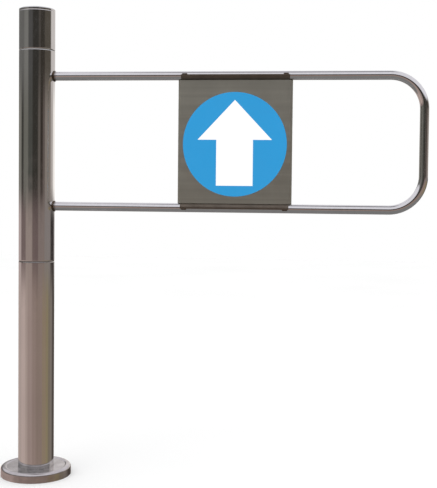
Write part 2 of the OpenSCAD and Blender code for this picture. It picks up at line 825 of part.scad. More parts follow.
module plunger() {
    color("silver") at_plunger(0) difference() {
        union() {
            translate([-fork_w / 2, -fork_l / 2, roller_z - fork_drop])
                cube([fork_w, fork_l, fork_drop + fork_crown]);
            translate([0, 0, fork_top_z - EPS]) cylinder(d = plunger_d, h = plunger_top_z - fork_top_z + EPS);
        }
        translate([-roller_w / 2 - free_gap, -fork_l, roller_z - roller_d])
            cube([roller_w + 2 * free_gap, 2 * fork_l, roller_d + roller_r + 0.6]);
        translate([-fork_w, 0, roller_z]) rotate([0, 90, 0]) cylinder(r = pin_r + EPS, h = 2 * fork_w);
    }
}

module plunger_pad() {
    color("black") at_plunger(plunger_top_z) cylinder(r = pad_r, h = pad_t);
}

module plunger_spring() {
    wire_r = 0.35;
    turns = 6;
    length = head_z0 - fork_top_z - 2 * wire_r - 0.3;
    color("slategray") at_plunger(fork_top_z + wire_r + 0.15)
        wire(coil_path(plunger_d / 2 + 0.9, 0, length / turns, turns, 16, 0, 0), wire_r, 6);
}

module plunger_bush() {
    color("goldenrod") at_plunger(0) {
        difference() {
            union() {
                translate([0, 0, head_z0]) cylinder(r = bush_r, h = head_base_t + 4);
                translate([0, 0, head_base_top]) cylinder(r = bush_flange_r, h = 1.5);
            }
            translate([0, 0, head_z0 - 1]) cylinder(r = plunger_d / 2 + run_gap, h = head_base_t + 6);
        }
    }
}

// ---- Head ----

module head_base() {
    color("gray") difference() {
        union() {
            translate([0, 0, head_z0]) cylinder(r = insert_r - 0.1, h = head_base_t);
            translate([0, 0, head_base_top - EPS]) cylinder(r = hub_r, h = hub_h + EPS);
        }
        translate([0, 0, head_z0 - 1]) cylinder(r = spigot_r + seat_gap, h = hub_top - head_z0 + 2);
        translate([0, 0, oring_z]) rotate_extrude()
            translate([bore_r - 2 * oring_r - 0.2, -oring_r - 0.2]) square([4, 2 * oring_r + 0.4]);
        at_plunger(head_z0 - 1) cylinder(r = bush_r + seat_gap / 2, h = head_base_t + 2);
        for (a = hub_screw_azimuths) spoke(hub_screw_r, spigot_r - 1, hub_r + 1, a, hub_top - hub_h / 2);
        for (y = [-1, 1]) translate([0, y * foot_screw_y, hub_top - 8])
            cylinder(r = small_screw_r + fit_gap, h = 9);
    }
}

module head_seal() {
    color("black") translate([0, 0, oring_z]) torus(bore_r - oring_r - seat_gap, oring_r);
}

module head_sleeve() {
    color("silver") translate([0, 0, head_z0]) tube(post_r, bore_r, cap_plate_z - head_z0);
}

// The end cap: a plate with a rounded rim, and a spigot that is pressed into the head sleeve.
module head_cap() {
    rim = 2;
    color("silver") rotate_extrude() union() {
        translate([0, cap_plate_z]) square([post_r, cap_t - rim]);
        translate([0, cap_plate_z]) square([post_r - rim, cap_t]);
        translate([post_r - rim, post_h - rim]) circle(r = rim);
        translate([insert_r - 2, cap_plate_z - 8]) square([2, 8 + EPS]);
    }
}

// ---- Counter ----

// A foot on the hub, and an ear up each long side of the case.
module counter_bracket() {
    foot_y = hub_r + spigot_r + 6;
    foot_x = hub_r;
    t = bracket_t - seat_gap;
    x0 = case_x0 - bracket_t;
    x1 = case_x0 + case_x + seat_gap;
    color("gray") difference() {
        union() {
            translate([-foot_x / 2, -foot_y / 2, hub_top]) cube([foot_x, foot_y, t]);
            translate([x0, ear_y0, hub_top]) cube([x1 + t - x0, ear_w, t]);
            for (x = [x0, x1]) translate([x, ear_y0, hub_top]) cube([t, ear_w, ear_h]);
        }
        for (y = [-1, 1]) translate([0, y * foot_screw_y, hub_top - 1])
            cylinder(r = small_screw_r + fit_gap, h = 4);
        for (x = [x0, x1])
            spoke_x(small_screw_r + fit_gap, x - 1, x + bracket_t + 1, ear_mid_y, ear_screw_z);
    }
}

module counter_case() {
    iw = case_wall;
    color("darkslategray") difference() {
        translate([case_x0, case_y0, case_z0]) cube([case_x, case_y, case_z]);
        translate([case_x0 + iw, case_y0 + iw, case_z0 + iw])
            cube([case_x - 2 * iw, case_y - 2 * iw, case_z - 2 * iw]);
        translate([shaft_x - window_w / 2, case_mid_y - window_l / 2, case_z0 + case_z - iw - 1])
            cube([window_w, window_l, iw + 2]);
        translate([shaft_x, case_y0 - 1, shaft_z]) rotate([-90, 0, 0])
            cylinder(r = shaft_r + run_gap, h = case_y + 2);
    }
}

module counter_window() {
    w = window_w - 2 * fit_gap;
    l = window_l - 2 * fit_gap;
    color("lightcyan", 0.4) translate([shaft_x - w / 2, case_mid_y - l / 2, case_z0 + case_z - case_wall])
        cube([w, l, case_wall - 0.3]);
}

// Puts its children on the shaft's axis, with local Z along +Y, starting at y.
module on_shaft(y) {
    translate([shaft_x, y, shaft_z]) rotate([-90, 0, 0]) children();
}

module counter_shaft() {
    y0 = plunger_y - lever_t / 2 - 1;
    color("silver") on_shaft(y0) cylinder(r = shaft_r, h = knob_y + knob_h - 2 - y0);
}

module counter_lever() {
    drop = lever_swing / 2;
    hub = 4.5;
    arm_h = 3;
    color("silver") difference() {
        union() {
            on_shaft(plunger_y - lever_t / 2) cylinder(r = hub, h = lever_t);
            on_shaft(plunger_y + lever_t / 2 - EPS)
                cylinder(r = hub - 1.5, h = case_y0 - plunger_y - lever_t / 2 - free_gap);
            translate([shaft_x, plunger_y, shaft_z]) rotate([0, -drop, 0]) {
                translate([-lever_l, -lever_t / 2, -arm_h / 2]) cube([lever_l, lever_t, arm_h]);
                translate([-lever_l, -lever_t / 2, 0]) rotate([-90, 0, 0])
                    cylinder(r = lever_tip_r, h = lever_t);
            }
        }
        on_shaft(plunger_y - lever_t) cylinder(r = shaft_r + run_gap, h = 4 * lever_t);
    }
}

// Figure wheel number i, counted from the lever's side.
module wheel(i) {
    y = case_mid_y + (i - (wheel_count - 1) / 2) * wheel_pitch - wheel_w / 2;
    color("ivory") on_shaft(y) difference() {
        tube(wheel_d / 2, shaft_r + run_gap, wheel_w);
        for (z = [-EPS, wheel_w - 1]) translate([0, 0, z]) tube(wheel_d / 2 - 1.5, shaft_r + 2, 1 + EPS);
    }
}

module units_wheel() { wheel(0); }
module tens_wheel() { wheel(1); }
module upper_wheels() { for (i = [2:wheel_count - 1]) wheel(i); }

module reset_knob() {
    knob_r = 4.5;
    wing_l = 14;
    wing_t = 2.4;
    wing_h = 5;
    color("black") difference() {
        on_shaft(knob_y) union() {
            cylinder(r = knob_r, h = knob_h);
            translate([-wing_l / 2, -wing_t / 2, knob_h - wing_h]) cube([wing_l, wing_t, wing_h]);
        }
        on_shaft(knob_y - 1) cylinder(r = shaft_r + run_gap, h = knob_h - 0.5);
    }
}

// Two screws down into the hub, and one through each ear into the case.
module counter_screws() {
    x0 = case_x0 - bracket_t;
    x1 = case_x0 + case_x + bracket_t;
    screw_head_r = 2;
    screw_head_h = 1.6;
    color("silver") {
        for (y = [-1, 1]) translate([0, y * foot_screw_y, hub_top - 6]) cylinder(r = small_screw_r, h = 6);
        spoke_x(screw_head_r, x0 - screw_head_h, x0, ear_mid_y, ear_screw_z);
        spoke_x(screw_head_r, x1, x1 + screw_head_h, ear_mid_y, ear_screw_z);
    }
}

base_plate();
base_weld();
post_tube();
base_cover();
mast_plugs();
mast();
spacer();
seam_ring_low();
low_bearing_inner();
low_bearing_outer();
low_bearing_cage();
low_bearing_balls();
low_bearing_seals();
low_housing();
top_bearing_inner();
top_bearing_outer();
top_bearing_cage();
top_bearing_balls();
top_housing();
mast_nut();
spring_collar();
set_screws();
return_spring();
spring_ring();
stop_collar();
stop_bolt();
stop_bumpers();
limit_ring();
gate_sleeve();
arm_tube();
arm_welds();
sign_panel();
panel_ends();
panel_saddles();
panel_tacks();
sign_disc();
sign_arrow();
count_cam();
cam_screws();
cam_roller();
roller_pin();
plunger();
plunger_pad();
plunger_spring();
plunger_bush();
seam_ring_top();
head_base();
head_seal();
head_sleeve();
head_cap();
counter_bracket();
counter_case();
counter_window();
counter_shaft();
counter_lever();
units_wheel();
tens_wheel();
upper_wheels();
reset_knob();
counter_screws();
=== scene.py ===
"""Visitor counter turnstile: a one-way swing gate on a polished post.

A stroke counter sits in its head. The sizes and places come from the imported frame, so each
piece sits where its CAD node does.
"""

import logging
import math
from dataclasses import dataclass, field
from enum import Enum
from typing import Callable, ClassVar, Iterable, Optional, Sequence

import bmesh
import bpy
from mathutils import Matrix, Vector


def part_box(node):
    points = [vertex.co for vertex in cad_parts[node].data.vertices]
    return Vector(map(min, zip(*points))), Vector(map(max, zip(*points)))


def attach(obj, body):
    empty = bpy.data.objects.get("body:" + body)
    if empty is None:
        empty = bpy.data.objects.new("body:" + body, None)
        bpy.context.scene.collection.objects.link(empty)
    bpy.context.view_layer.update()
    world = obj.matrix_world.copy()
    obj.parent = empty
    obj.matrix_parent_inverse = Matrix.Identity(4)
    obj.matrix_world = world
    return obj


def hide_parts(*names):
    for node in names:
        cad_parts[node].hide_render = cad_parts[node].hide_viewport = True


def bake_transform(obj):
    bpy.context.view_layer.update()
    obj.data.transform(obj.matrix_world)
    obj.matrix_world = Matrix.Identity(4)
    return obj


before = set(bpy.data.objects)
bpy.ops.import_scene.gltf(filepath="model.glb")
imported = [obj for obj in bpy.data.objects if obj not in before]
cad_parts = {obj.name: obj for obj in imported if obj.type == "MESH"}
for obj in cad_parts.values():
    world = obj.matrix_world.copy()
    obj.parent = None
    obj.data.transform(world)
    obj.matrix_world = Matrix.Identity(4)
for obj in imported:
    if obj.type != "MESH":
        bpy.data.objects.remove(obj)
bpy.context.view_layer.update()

MM = 0.001
AROUND = 160
GUARD = 1.5 * MM
LOG = logging.getLogger("turnstile")

Colour = tuple[float, float, float]
Point = tuple[float, float, float]
Outline = Sequence[tuple[float, float]]
Bands = tuple[tuple[float, float, Colour], ...]


def srgb(red: float, green: float, blue: float) -> Colour:
    """Turns a colour in display levels into the linear light that shaders use.

    Args:
        red: Level of red, 0 to 255.
        green: Level of green, 0 to 255.
        blue: Level of blue, 0 to 255.

    Returns:
        The linear colour.
    """
    def channel(level: float) -> float:
        """Returns one level as linear light."""
        share = level / 255.0
        return share / 12.92 if share <= 0.04045 else ((share + 0.055) / 1.055) ** 2.4

    return channel(red), channel(green), channel(blue)


def with_alpha(colour: Colour) -> tuple[float, float, float, float]:
    """Returns the colour with full alpha."""
    return (*colour, 1.0)


# ---- Shader graphs ----


class Graph:
    """Places shader nodes in a tree and joins them."""

    def __init__(self, tree: bpy.types.NodeTree) -> None:
        """Starts on an existing tree, and keeps what is in it."""
        self.tree = tree

    def node(self, kind: str, **settings: object) -> bpy.types.Node:
        """Adds a node.

        Args:
            kind: Blender's name of the node's type.
            settings: Properties to set on the node.

        Returns:
            The new node.
        """
        made = self.tree.nodes.new(kind)
        for key, value in settings.items():
            setattr(made, key, value)
        return made

    def feed(self, into: bpy.types.NodeSocket, source: object) -> None:
        """Joins a socket to the one given, or sets it to the value given."""
        if isinstance(source, bpy.types.NodeSocket):
            self.tree.links.new(source, into)
        else:
            into.default_value = source

    def math(self, operation: str, *terms: object, clamp: bool = False) -> bpy.types.NodeSocket:
        """Adds a Math node.

        Args:
            operation: The Math node's operation.
            terms: Its inputs, each a socket or a number.
            clamp: Whether the result is kept between 0 and 1.

        Returns:
            The node's output.
        """
        made = self.node("ShaderNodeMath", operation=operation, use_clamp=clamp)
        for place, term in enumerate(terms):
            self.feed(made.inputs[place], term)
        return made.outputs[0]

    def vector(self, operation: str, *terms: object) -> bpy.types.NodeSocket:
        """Adds a Vector Math node.

        Args:
            operation: The Vector Math node's operation.
            terms: Its inputs, each a socket or a vector.

        Returns:
            The node's output: the number for a length or distance, and the vector otherwise.
        """
        made = self.node("ShaderNodeVectorMath", operation=operation)
        for place, term in enumerate(terms):
            self.feed(made.inputs[place], term)
        return made.outputs["Value" if operation in {"LENGTH", "DISTANCE"} else "Vector"]

    def noise(self, vector: object, scale: float, detail: float = 2.0) -> bpy.types.NodeSocket:
        """Adds a Noise Texture.

        Args:
            vector: Where the noise is read.
            scale: The noise's scale.
            detail: How many finer layers it has.

        Returns:
            The noise, 0 to 1.
        """
        made = self.node("ShaderNodeTexNoise")
        self.feed(made.inputs["Vector"], vector)
        self.feed(made.inputs["Scale"], scale)
        made.inputs["Detail"].default_value = detail
        return made.outputs[0]

    def spread(self, value: object, low: object, high: object, to_low: object = 0.0,
               to_high: object = 1.0, smooth: bool = False) -> bpy.types.NodeSocket:
        """Adds a Map Range.

        Args:
            value: The value to map.
            low: The value that maps to to_low.
            high: The value that maps to to_high.
            to_low: The result at the low end.
            to_high: The result at the high end.
            smooth: Whether the result eases in and out.

        Returns:
            The mapped value, kept between the two results.
        """
        made = self.node("ShaderNodeMapRange")
        if smooth:
            made.interpolation_type = "SMOOTHSTEP"
        for socket, source in zip(("Value", "From Min", "From Max", "To Min", "To Max"),
                                  (value, low, high, to_low, to_high)):
            self.feed(made.inputs[socket], source)
        return made.outputs["Result"]

    def mix(self, share: object, first: object, second: object,
            blend: str = "MIX") -> bpy.types.NodeSocket:
        """Adds a colour mix.

        Args:
            share: How much of the second colour there is.
            first: The first colour or socket.
            second: The second colour or socket.
            blend: The way the colours mix.

        Returns:
            The mixed colour.
        """
        made = self.node("ShaderNodeMix", data_type="RGBA", blend_type=blend)
        self.feed(made.inputs[0], share)
        for place, source in ((6, first), (7, second)):
            if isinstance(source, tuple) and len(source) == 3:
                source = with_alpha(source)
            self.feed(made.inputs[place], source)
        return made.outputs[2]

    def ramp(self, value: bpy.types.NodeSocket,
             stops: Iterable[tuple[float, Colour]]) -> bpy.types.NodeSocket:
        """Adds a colour ramp.

        Args:
            value: The value that picks the colour.
            stops: Places from 0 to 1 and their linear colours.

        Returns:
            The ramp's colour.
        """
        made = self.node("ShaderNodeValToRGB")
        elements = made.color_ramp.elements
        ordered = sorted(stops)
        while len(elements) < len(ordered):
            elements.new(0.5)
        for element, (place, colour) in zip(elements, ordered):
            element.position = place
            element.color = with_alpha(colour)
        self.feed(made.inputs[0], value)
        return made.outputs[0]


# ---- Effects that several finishes share ----


class Effect(Enum):
    """Effects on a surface, each a node group."""

    LAY = "surface_lay"
    TURNING = "turning_lines"
    HAZE = "handling_haze"
    DRIFT = "colour_drift"
    GRAIN = "moulded_grain"
    WEAR = "worn_edges"
    TINT = "heat_tint"


class EffectShelf:
    """Builds each effect's node group once, and places it in a material."""

    SOCKETS: ClassVar[dict[type, str]] = {
        float: "NodeSocketFloat", Vector: "NodeSocketVector", tuple: "NodeSocketColor"}

    def __init__(self) -> None:
        """Builds all the groups."""
        makers: dict[Effect, Callable[[], bpy.types.NodeTree]] = {
            Effect.LAY: self._lay, Effect.TURNING: self._turning, Effect.HAZE: self._haze,
            Effect.DRIFT: self._drift, Effect.GRAIN: self._grain, Effect.WEAR: self._wear,
            Effect.TINT: self._tint}
        self.groups = {effect: maker() for effect, maker in makers.items()}

    def _start(self, effect: Effect, inputs: dict[str, object],
               outputs: dict[str, type]) -> tuple[Graph, bpy.types.Node, bpy.types.Node]:
        """Starts a node group.

        Args:
            effect: The effect that the group is for.
            inputs: Names of the inputs and their default values.
            outputs: Names of the outputs and their types.

        Returns:
            The group's graph, its input node and its output node.
        """
        tree = bpy.data.node_groups.new(effect.value, "ShaderNodeTree")
        for name, value in inputs.items():
            socket = tree.interface.new_socket(
                name=name, in_out="INPUT", socket_type=self.SOCKETS[type(value)])
            socket.default_value = value
        for name, kind in outputs.items():
            tree.interface.new_socket(name=name, in_out="OUTPUT", socket_type=self.SOCKETS[kind])
        graph = Graph(tree)
        return graph, graph.node("NodeGroupInput"), graph.node("NodeGroupOutput")

    def _lay(self) -> bpy.types.NodeTree:
        """Builds fine lines left by polishing or brushing, stretched along one direction.

        Returns:
            The effect's node group.
        """
        graph, given, out = self._start(
            Effect.LAY, {"Stretch": Vector((1.0, 1.0, 0.02)), "Scale": 900.0},
            {"Height": float, "Streak": float})
        place = graph.node("ShaderNodeTexCoord").outputs["Object"]
        drawn = graph.vector("MULTIPLY", place, given.outputs["Stretch"])
        fine = graph.noise(drawn, given.outputs["Scale"], 3.0)
        broad = graph.noise(drawn, graph.math("MULTIPLY", given.outputs["Scale"], 0.12), 2.0)
        graph.feed(out.inputs["Height"], fine)
        graph.feed(out.inputs["Streak"], graph.spread(broad, 0.35, 0.65))
        return graph.tree

    def _turning(self) -> bpy.types.NodeTree:
        """Builds the rings that a lathe leaves round the upright axis.

        Returns:
            The effect's node group.
        """
        graph, given, out = self._start(
            Effect.TURNING, {"Scale": 1400.0}, {"Height": float})
        place = graph.node("ShaderNodeTexCoord").outputs["Object"]
        parts = graph.node("ShaderNodeSeparateXYZ")
        graph.feed(parts.inputs[0], place)
        level = graph.node("ShaderNodeCombineXYZ")
        graph.feed(level.inputs[0], parts.outputs[0])
        graph.feed(level.inputs[1], parts.outputs[1])
        ring = graph.node("ShaderNodeCombineXYZ")
        graph.feed(ring.inputs[0], graph.vector("LENGTH", level.outputs[0]))
        graph.feed(ring.inputs[1], parts.outputs[2])
        graph.feed(out.inputs["Height"], graph.noise(ring.outputs[0], given.outputs["Scale"], 2.0))
        return graph.tree

    def _haze(self) -> bpy.types.NodeTree:
        """Builds the dull patches that hands and cloths leave, as a roughness.

        Returns:
            The effect's node group.
        """
        graph, given, out = self._start(
            Effect.HAZE, {"Low": 0.08, "High": 0.18, "Scale": 9.0},
            {"Roughness": float, "Haze": float})
        place = graph.node("ShaderNodeTexCoord").outputs["Object"]
        cloud = graph.noise(place, given.outputs["Scale"], 5.0)
        smear = graph.noise(graph.vector("MULTIPLY", place, (3.0, 3.0, 1.0)),
                            graph.math("MULTIPLY", given.outputs["Scale"], 5.0), 3.0)
        haze = graph.spread(graph.math("MULTIPLY", cloud, smear), 0.16, 0.36)
        graph.feed(out.inputs["Roughness"],
                   graph.spread(haze, 0.0, 1.0, given.outputs["Low"], given.outputs["High"]))
        graph.feed(out.inputs["Haze"], haze)
        return graph.tree

    def _drift(self) -> bpy.types.NodeTree:
        """Builds a slow change of a colour over the surface.

        Returns:
            The effect's node group.
        """
        graph, given, out = self._start(
            Effect.DRIFT, {"Colour": (0.5, 0.5, 0.5, 1.0), "Depth": 0.1, "Scale": 14.0},
            {"Colour": tuple})
        place = graph.node("ShaderNodeTexCoord").outputs["Object"]
        cloud = graph.noise(place, given.outputs["Scale"], 4.0)
        shade = graph.spread(cloud, 0.3, 0.7, 1.0, 0.0)
        share = graph.math("MULTIPLY", shade, given.outputs["Depth"])
        graph.feed(out.inputs["Colour"],
                   graph.mix(share, given.outputs["Colour"], (0.02, 0.018, 0.016)))
        return graph.tree

    def _grain(self) -> bpy.types.NodeTree:
        """Builds the fine pebbled grain of a mould or a casting.

        Returns:
            The effect's node group.
        """
        graph, given, out = self._start(
            Effect.GRAIN, {"Scale": 1800.0}, {"Height": float, "Pits": float})
        place = graph.node("ShaderNodeTexCoord").outputs["Object"]
        cells = graph.node("ShaderNodeTexVoronoi")
        graph.feed(cells.inputs["Vector"], place)
        graph.feed(cells.inputs["Scale"], given.outputs["Scale"])
        graph.feed(out.inputs["Height"], cells.outputs["Distance"])
        graph.feed(out.inputs["Pits"], graph.spread(cells.outputs["Distance"], 0.05, 0.3, 1.0, 0.0))
        return graph.tree

    def _wear(self) -> bpy.types.NodeTree:
        """Builds bright, rubbed edges, broken up so that they don't run evenly.

        Returns:
            The effect's node group.
        """
        graph, given, out = self._start(
            Effect.WEAR, {"Amount": 0.5, "Scale": 160.0}, {"Mask": float})
        sharpness = graph.node("ShaderNodeNewGeometry").outputs["Pointiness"]
        place = graph.node("ShaderNodeTexCoord").outputs["Object"]
        edge = graph.spread(sharpness, 0.51, 0.58)
        rubbed = graph.spread(graph.noise(place, given.outputs["Scale"], 4.0), 0.4, 0.6)
        mask = graph.math("MULTIPLY", edge, rubbed)
        graph.feed(out.inputs["Mask"],
                   graph.math("MULTIPLY", mask, given.outputs["Amount"], clamp=True))
        return graph.tree

    def _tint(self) -> bpy.types.NodeTree:
        """Builds the straw-brown heat mark round a weld, fading from the weld's middle.

        Returns:
            The effect's node group.
        """
        graph, given, out = self._start(
            Effect.TINT, {"Centre": Vector((0.0, 0.0, 0.0)), "Inner": 0.009, "Outer": 0.017},
            {"Mask": float})
        place = graph.node("ShaderNodeTexCoord").outputs["Object"]
        away = graph.vector("DISTANCE", place, given.outputs["Centre"])
        ragged = graph.math("MULTIPLY_ADD", graph.noise(place, 420.0, 3.0), 0.003, away)
        graph.feed(out.inputs["Mask"], graph.spread(
            ragged, given.outputs["Inner"], given.outputs["Outer"], 1.0, 0.0, smooth=True))
        return graph.tree

    def place(self, graph: Graph, effect: Effect, **values: object) -> bpy.types.Node:
        """Places an effect in a material.

        Args:
            graph: The material's graph.
            effect: Which effect.
            values: The group's inputs, each a socket or a value.

        Returns:
            The group node.
        """
        made = graph.node("ShaderNodeGroup", node_tree=self.groups[effect])
        for name, value in values.items():
            if isinstance(value, tuple) and len(value) == 3 and name == "Colour":
                value = with_alpha(value)
            graph.feed(made.inputs[name], value)
        return made


# ---- Finishes ----


class Lay(Enum):
    """Direction in which a surface was polished or brushed, as the noise's stretch."""

    UPRIGHT = (1.0, 1.0, 0.015)
    LEVEL = (0.012, 1.0, 1.0)
    TURNED = None


@dataclass(frozen=True)
class Finish:
    """A finish: its name, mostly a slot of the record, and what all finishes have."""

    slot: str
    colour: Colour
    low: float = 0.2
    high: float = 0.4
    drift: float = 0.1
    drift_scale: float = 14.0

    def start(self, shelf: EffectShelf) -> tuple[Graph, bpy.types.Material, bpy.types.Node]:
        """Makes the material with its drifting colour and its uneven roughness.

        Args:
            shelf: The shared effects.

        Returns:
            The material's graph, the material and its Principled BSDF.
        """
        material = bpy.data.materials.new(self.slot)
        material.use_nodes = True
        graph = Graph(material.node_tree)
        shader = material.node_tree.nodes["Principled BSDF"]
        colour = shelf.place(graph, Effect.DRIFT, Colour=self.colour, Depth=self.drift,
                             Scale=self.drift_scale)
        graph.feed(shader.inputs["Base Color"], colour.outputs["Colour"])
        haze = shelf.place(graph, Effect.HAZE, Low=self.low, High=self.high)
        graph.feed(shader.inputs["Roughness"], haze.outputs["Roughness"])
        return graph, material, shader

    def bump(self, graph: Graph, shader: bpy.types.Node, height: bpy.types.NodeSocket,
             depth: float, strength: float = 1.0) -> None:
        """Puts a relief on the shader.

        Args:
            graph: The material's graph.
            shader: The material's Principled BSDF.
            height: The relief, 0 to 1.
            depth: The relief's depth, in metres.
            strength: How much of it shows.
        """
        relief = graph.node("ShaderNodeBump")
        relief.inputs["Distance"].default_value = depth
        relief.inputs["Strength"].default_value = strength
        graph.feed(relief.inputs["Height"], height)
        graph.feed(shader.inputs["Normal"], relief.outputs["Normal"])

    def material(self, shelf: EffectShelf) -> bpy.types.Material:
        """Returns the finished material, made with the shared effects."""
        raise NotImplementedError


@dataclass(frozen=True)
class MetalFinish(Finish):
    """Bare metal with the lines of its polishing, brushing or turning."""

    lay: Lay = Lay.UPRIGHT
    lay_scale: float = 900.0
    depth: float = 0.00001
    streak: float = 0.0
    anisotropic: float = 0.0

    def material(self, shelf: EffectShelf) -> bpy.types.Material:
        """Makes the metal's material.

        Args:
            shelf: The shared effects.

        Returns:
            The material.
        """
        graph, material, shader = self.start(shelf)
        shader.inputs["Metallic"].default_value = 1.0
        shader.inputs["Anisotropic"].default_value = self.anisotropic
        if self.lay is Lay.TURNED:
            lines = shelf.place(graph, Effect.TURNING, Scale=self.lay_scale)
        else:
            lines = shelf.place(graph, Effect.LAY, Stretch=self.lay.value, Scale=self.lay_scale)
            base = shader.inputs["Base Color"].links[0].from_socket
            share = graph.math("MULTIPLY", lines.outputs["Streak"], self.streak)
            graph.feed(shader.inputs["Base Color"], graph.mix(share, base, (0.05, 0.045, 0.04)))
        self.bump(graph, shader, lines.outputs["Height"], self.depth)
        self.age(graph, shelf, shader)
        return material

    def age(self, graph: Graph, shelf: EffectShelf, shader: bpy.types.Node) -> None:
        """Adds nothing more on plain metal."""


@dataclass(frozen=True)
class WeldedStainlessFinish(MetalFinish):
    """Stainless with brown heat marks where it is welded."""

    welds: tuple[Point, ...] = ()
    inner: float = 0.0105
    outer: float = 0.0135
    tint: Colour = (0.10, 0.055, 0.025)
    tint_share: float = 0.75

    def age(self, graph: Graph, shelf: EffectShelf, shader: bpy.types.Node) -> None:
        """Adds a heat mark at each weld.

        Args:
            graph: The material's graph.
            shelf: The shared effects.
            shader: The material's Principled BSDF.
        """
        for centre in self.welds:
            mark = shelf.place(graph, Effect.TINT, Centre=centre, Inner=self.inner,
                               Outer=self.outer)
            base = shader.inputs["Base Color"].links[0].from_socket
            share = graph.math("MULTIPLY", mark.outputs["Mask"], self.tint_share)
            graph.feed(shader.inputs["Base Color"], graph.mix(share, base, self.tint))


@dataclass(frozen=True)
class WeldFinish(Finish):
    """A weld's own metal: rippled, with straw, bronze and blue scale."""

    depth: float = 0.0002
    scale_size: float = 260.0
    ripple_size: float = 900.0

    def material(self, shelf: EffectShelf) -> bpy.types.Material:
        """Makes the weld's material.

        Args:
            shelf: The shared effects.

        Returns:
            The material.
        """
        graph, material, shader = self.start(shelf)
        shader.inputs["Metallic"].default_value = 1.0
        place = graph.node("ShaderNodeTexCoord").outputs["Object"]
        scale = graph.noise(place, self.scale_size, 3.0)
        graph.feed(shader.inputs["Base Color"], graph.ramp(scale, (
            (0.30, self.colour), (0.45, srgb(104, 86, 66)), (0.58, srgb(74, 66, 62)),
            (0.72, srgb(142, 136, 130)))))
        self.bump(graph, shader, graph.noise(place, self.ripple_size, 3.0), self.depth)
        return material


@dataclass(frozen=True)
class CoatedFinish(Finish):
    """A blackened or scaled steel, rubbed bright along its edges."""

    metallic: float = 0.6
    worn: Colour = (0.35, 0.34, 0.33)
    wear: float = 0.7
    grain_scale: float = 1500.0
    depth: float = 0.00004

    def material(self, shelf: EffectShelf) -> bpy.types.Material:
        """Makes the coated steel's material.

        Args:
            shelf: The shared effects.

        Returns:
            The material.
        """
        graph, material, shader = self.start(shelf)
        shader.inputs["Metallic"].default_value = self.metallic
        rubbed = shelf.place(graph, Effect.WEAR, Amount=self.wear)
        base = shader.inputs["Base Color"].links[0].from_socket
        graph.feed(shader.inputs["Base Color"], graph.mix(rubbed.outputs["Mask"], base, self.worn))
        grain = shelf.place(graph, Effect.GRAIN, Scale=self.grain_scale)
        self.bump(graph, shader, grain.outputs["Height"], self.depth)
        return material


@dataclass(frozen=True)
class MouldedFinish(Finish):
    """Moulded plastic or rubber with its mould's grain."""

    grain_scale: float = 1800.0
    depth: float = 0.00005
    specular: float = 0.5
    soft: float = 0.0
    pit_depth: float = 0.15

    def material(self, shelf: EffectShelf) -> bpy.types.Material:
        """Makes the plastic's material.

        Args:
            shelf: The shared effects.

        Returns:
            The material.
        """
        graph, material, shader = self.start(shelf)
        shader.inputs["Specular IOR Level"].default_value = self.specular
        shader.inputs["Sheen Weight"].default_value = self.soft
        grain = shelf.place(graph, Effect.GRAIN, Scale=self.grain_scale)
        base = shader.inputs["Base Color"].links[0].from_socket
        share = graph.math("MULTIPLY", grain.outputs["Pits"], self.pit_depth)
        graph.feed(shader.inputs["Base Color"], graph.mix(share, base, (0.01, 0.01, 0.01)))
        self.bump(graph, shader, grain.outputs["Height"], self.depth)
        return material


@dataclass(frozen=True)
class FilmFinish(Finish):
    """Self-adhesive film with a clear top layer and a faint orange peel."""

    coat: float = 0.35
    coat_roughness: float = 0.22
    specular: float = 0.25
    peel_scale: float = 420.0
    depth: float = 0.00003

    def material(self, shelf: EffectShelf) -> bpy.types.Material:
        """Makes the film's material.

        Args:
            shelf: The shared effects.

        Returns:
            The material.
        """
        graph, material, shader = self.start(shelf)
        shader.inputs["Coat Weight"].default_value = self.coat
        shader.inputs["Coat Roughness"].default_value = self.coat_roughness
        shader.inputs["Specular IOR Level"].default_value = self.specular
        place = graph.node("ShaderNodeTexCoord").outputs["Object"]
        self.bump(graph, shader, graph.noise(place, self.peel_scale, 2.0), self.depth)
        return material


@dataclass(frozen=True)
class WindowFinish(Finish):
    """A clear pane with faint wiping marks."""

    refraction: float = 1.49
    lay_scale: float = 600.0
    depth: float = 0.000004

    def material(self, shelf: EffectShelf) -> bpy.types.Material:
        """Makes the pane's material.

        Args:
            shelf: The shared effects.

        Returns:
            The material.
        """
        graph, material, shader = self.start(shelf)
        shader.inputs["Transmission Weight"].default_value = 1.0
        shader.inputs["IOR"].default_value = self.refraction
        lines = shelf.place(graph, Effect.LAY, Stretch=Lay.LEVEL.value, Scale=self.lay_scale)
        self.bump(graph, shader, lines.outputs["Height"], self.depth)
        return material


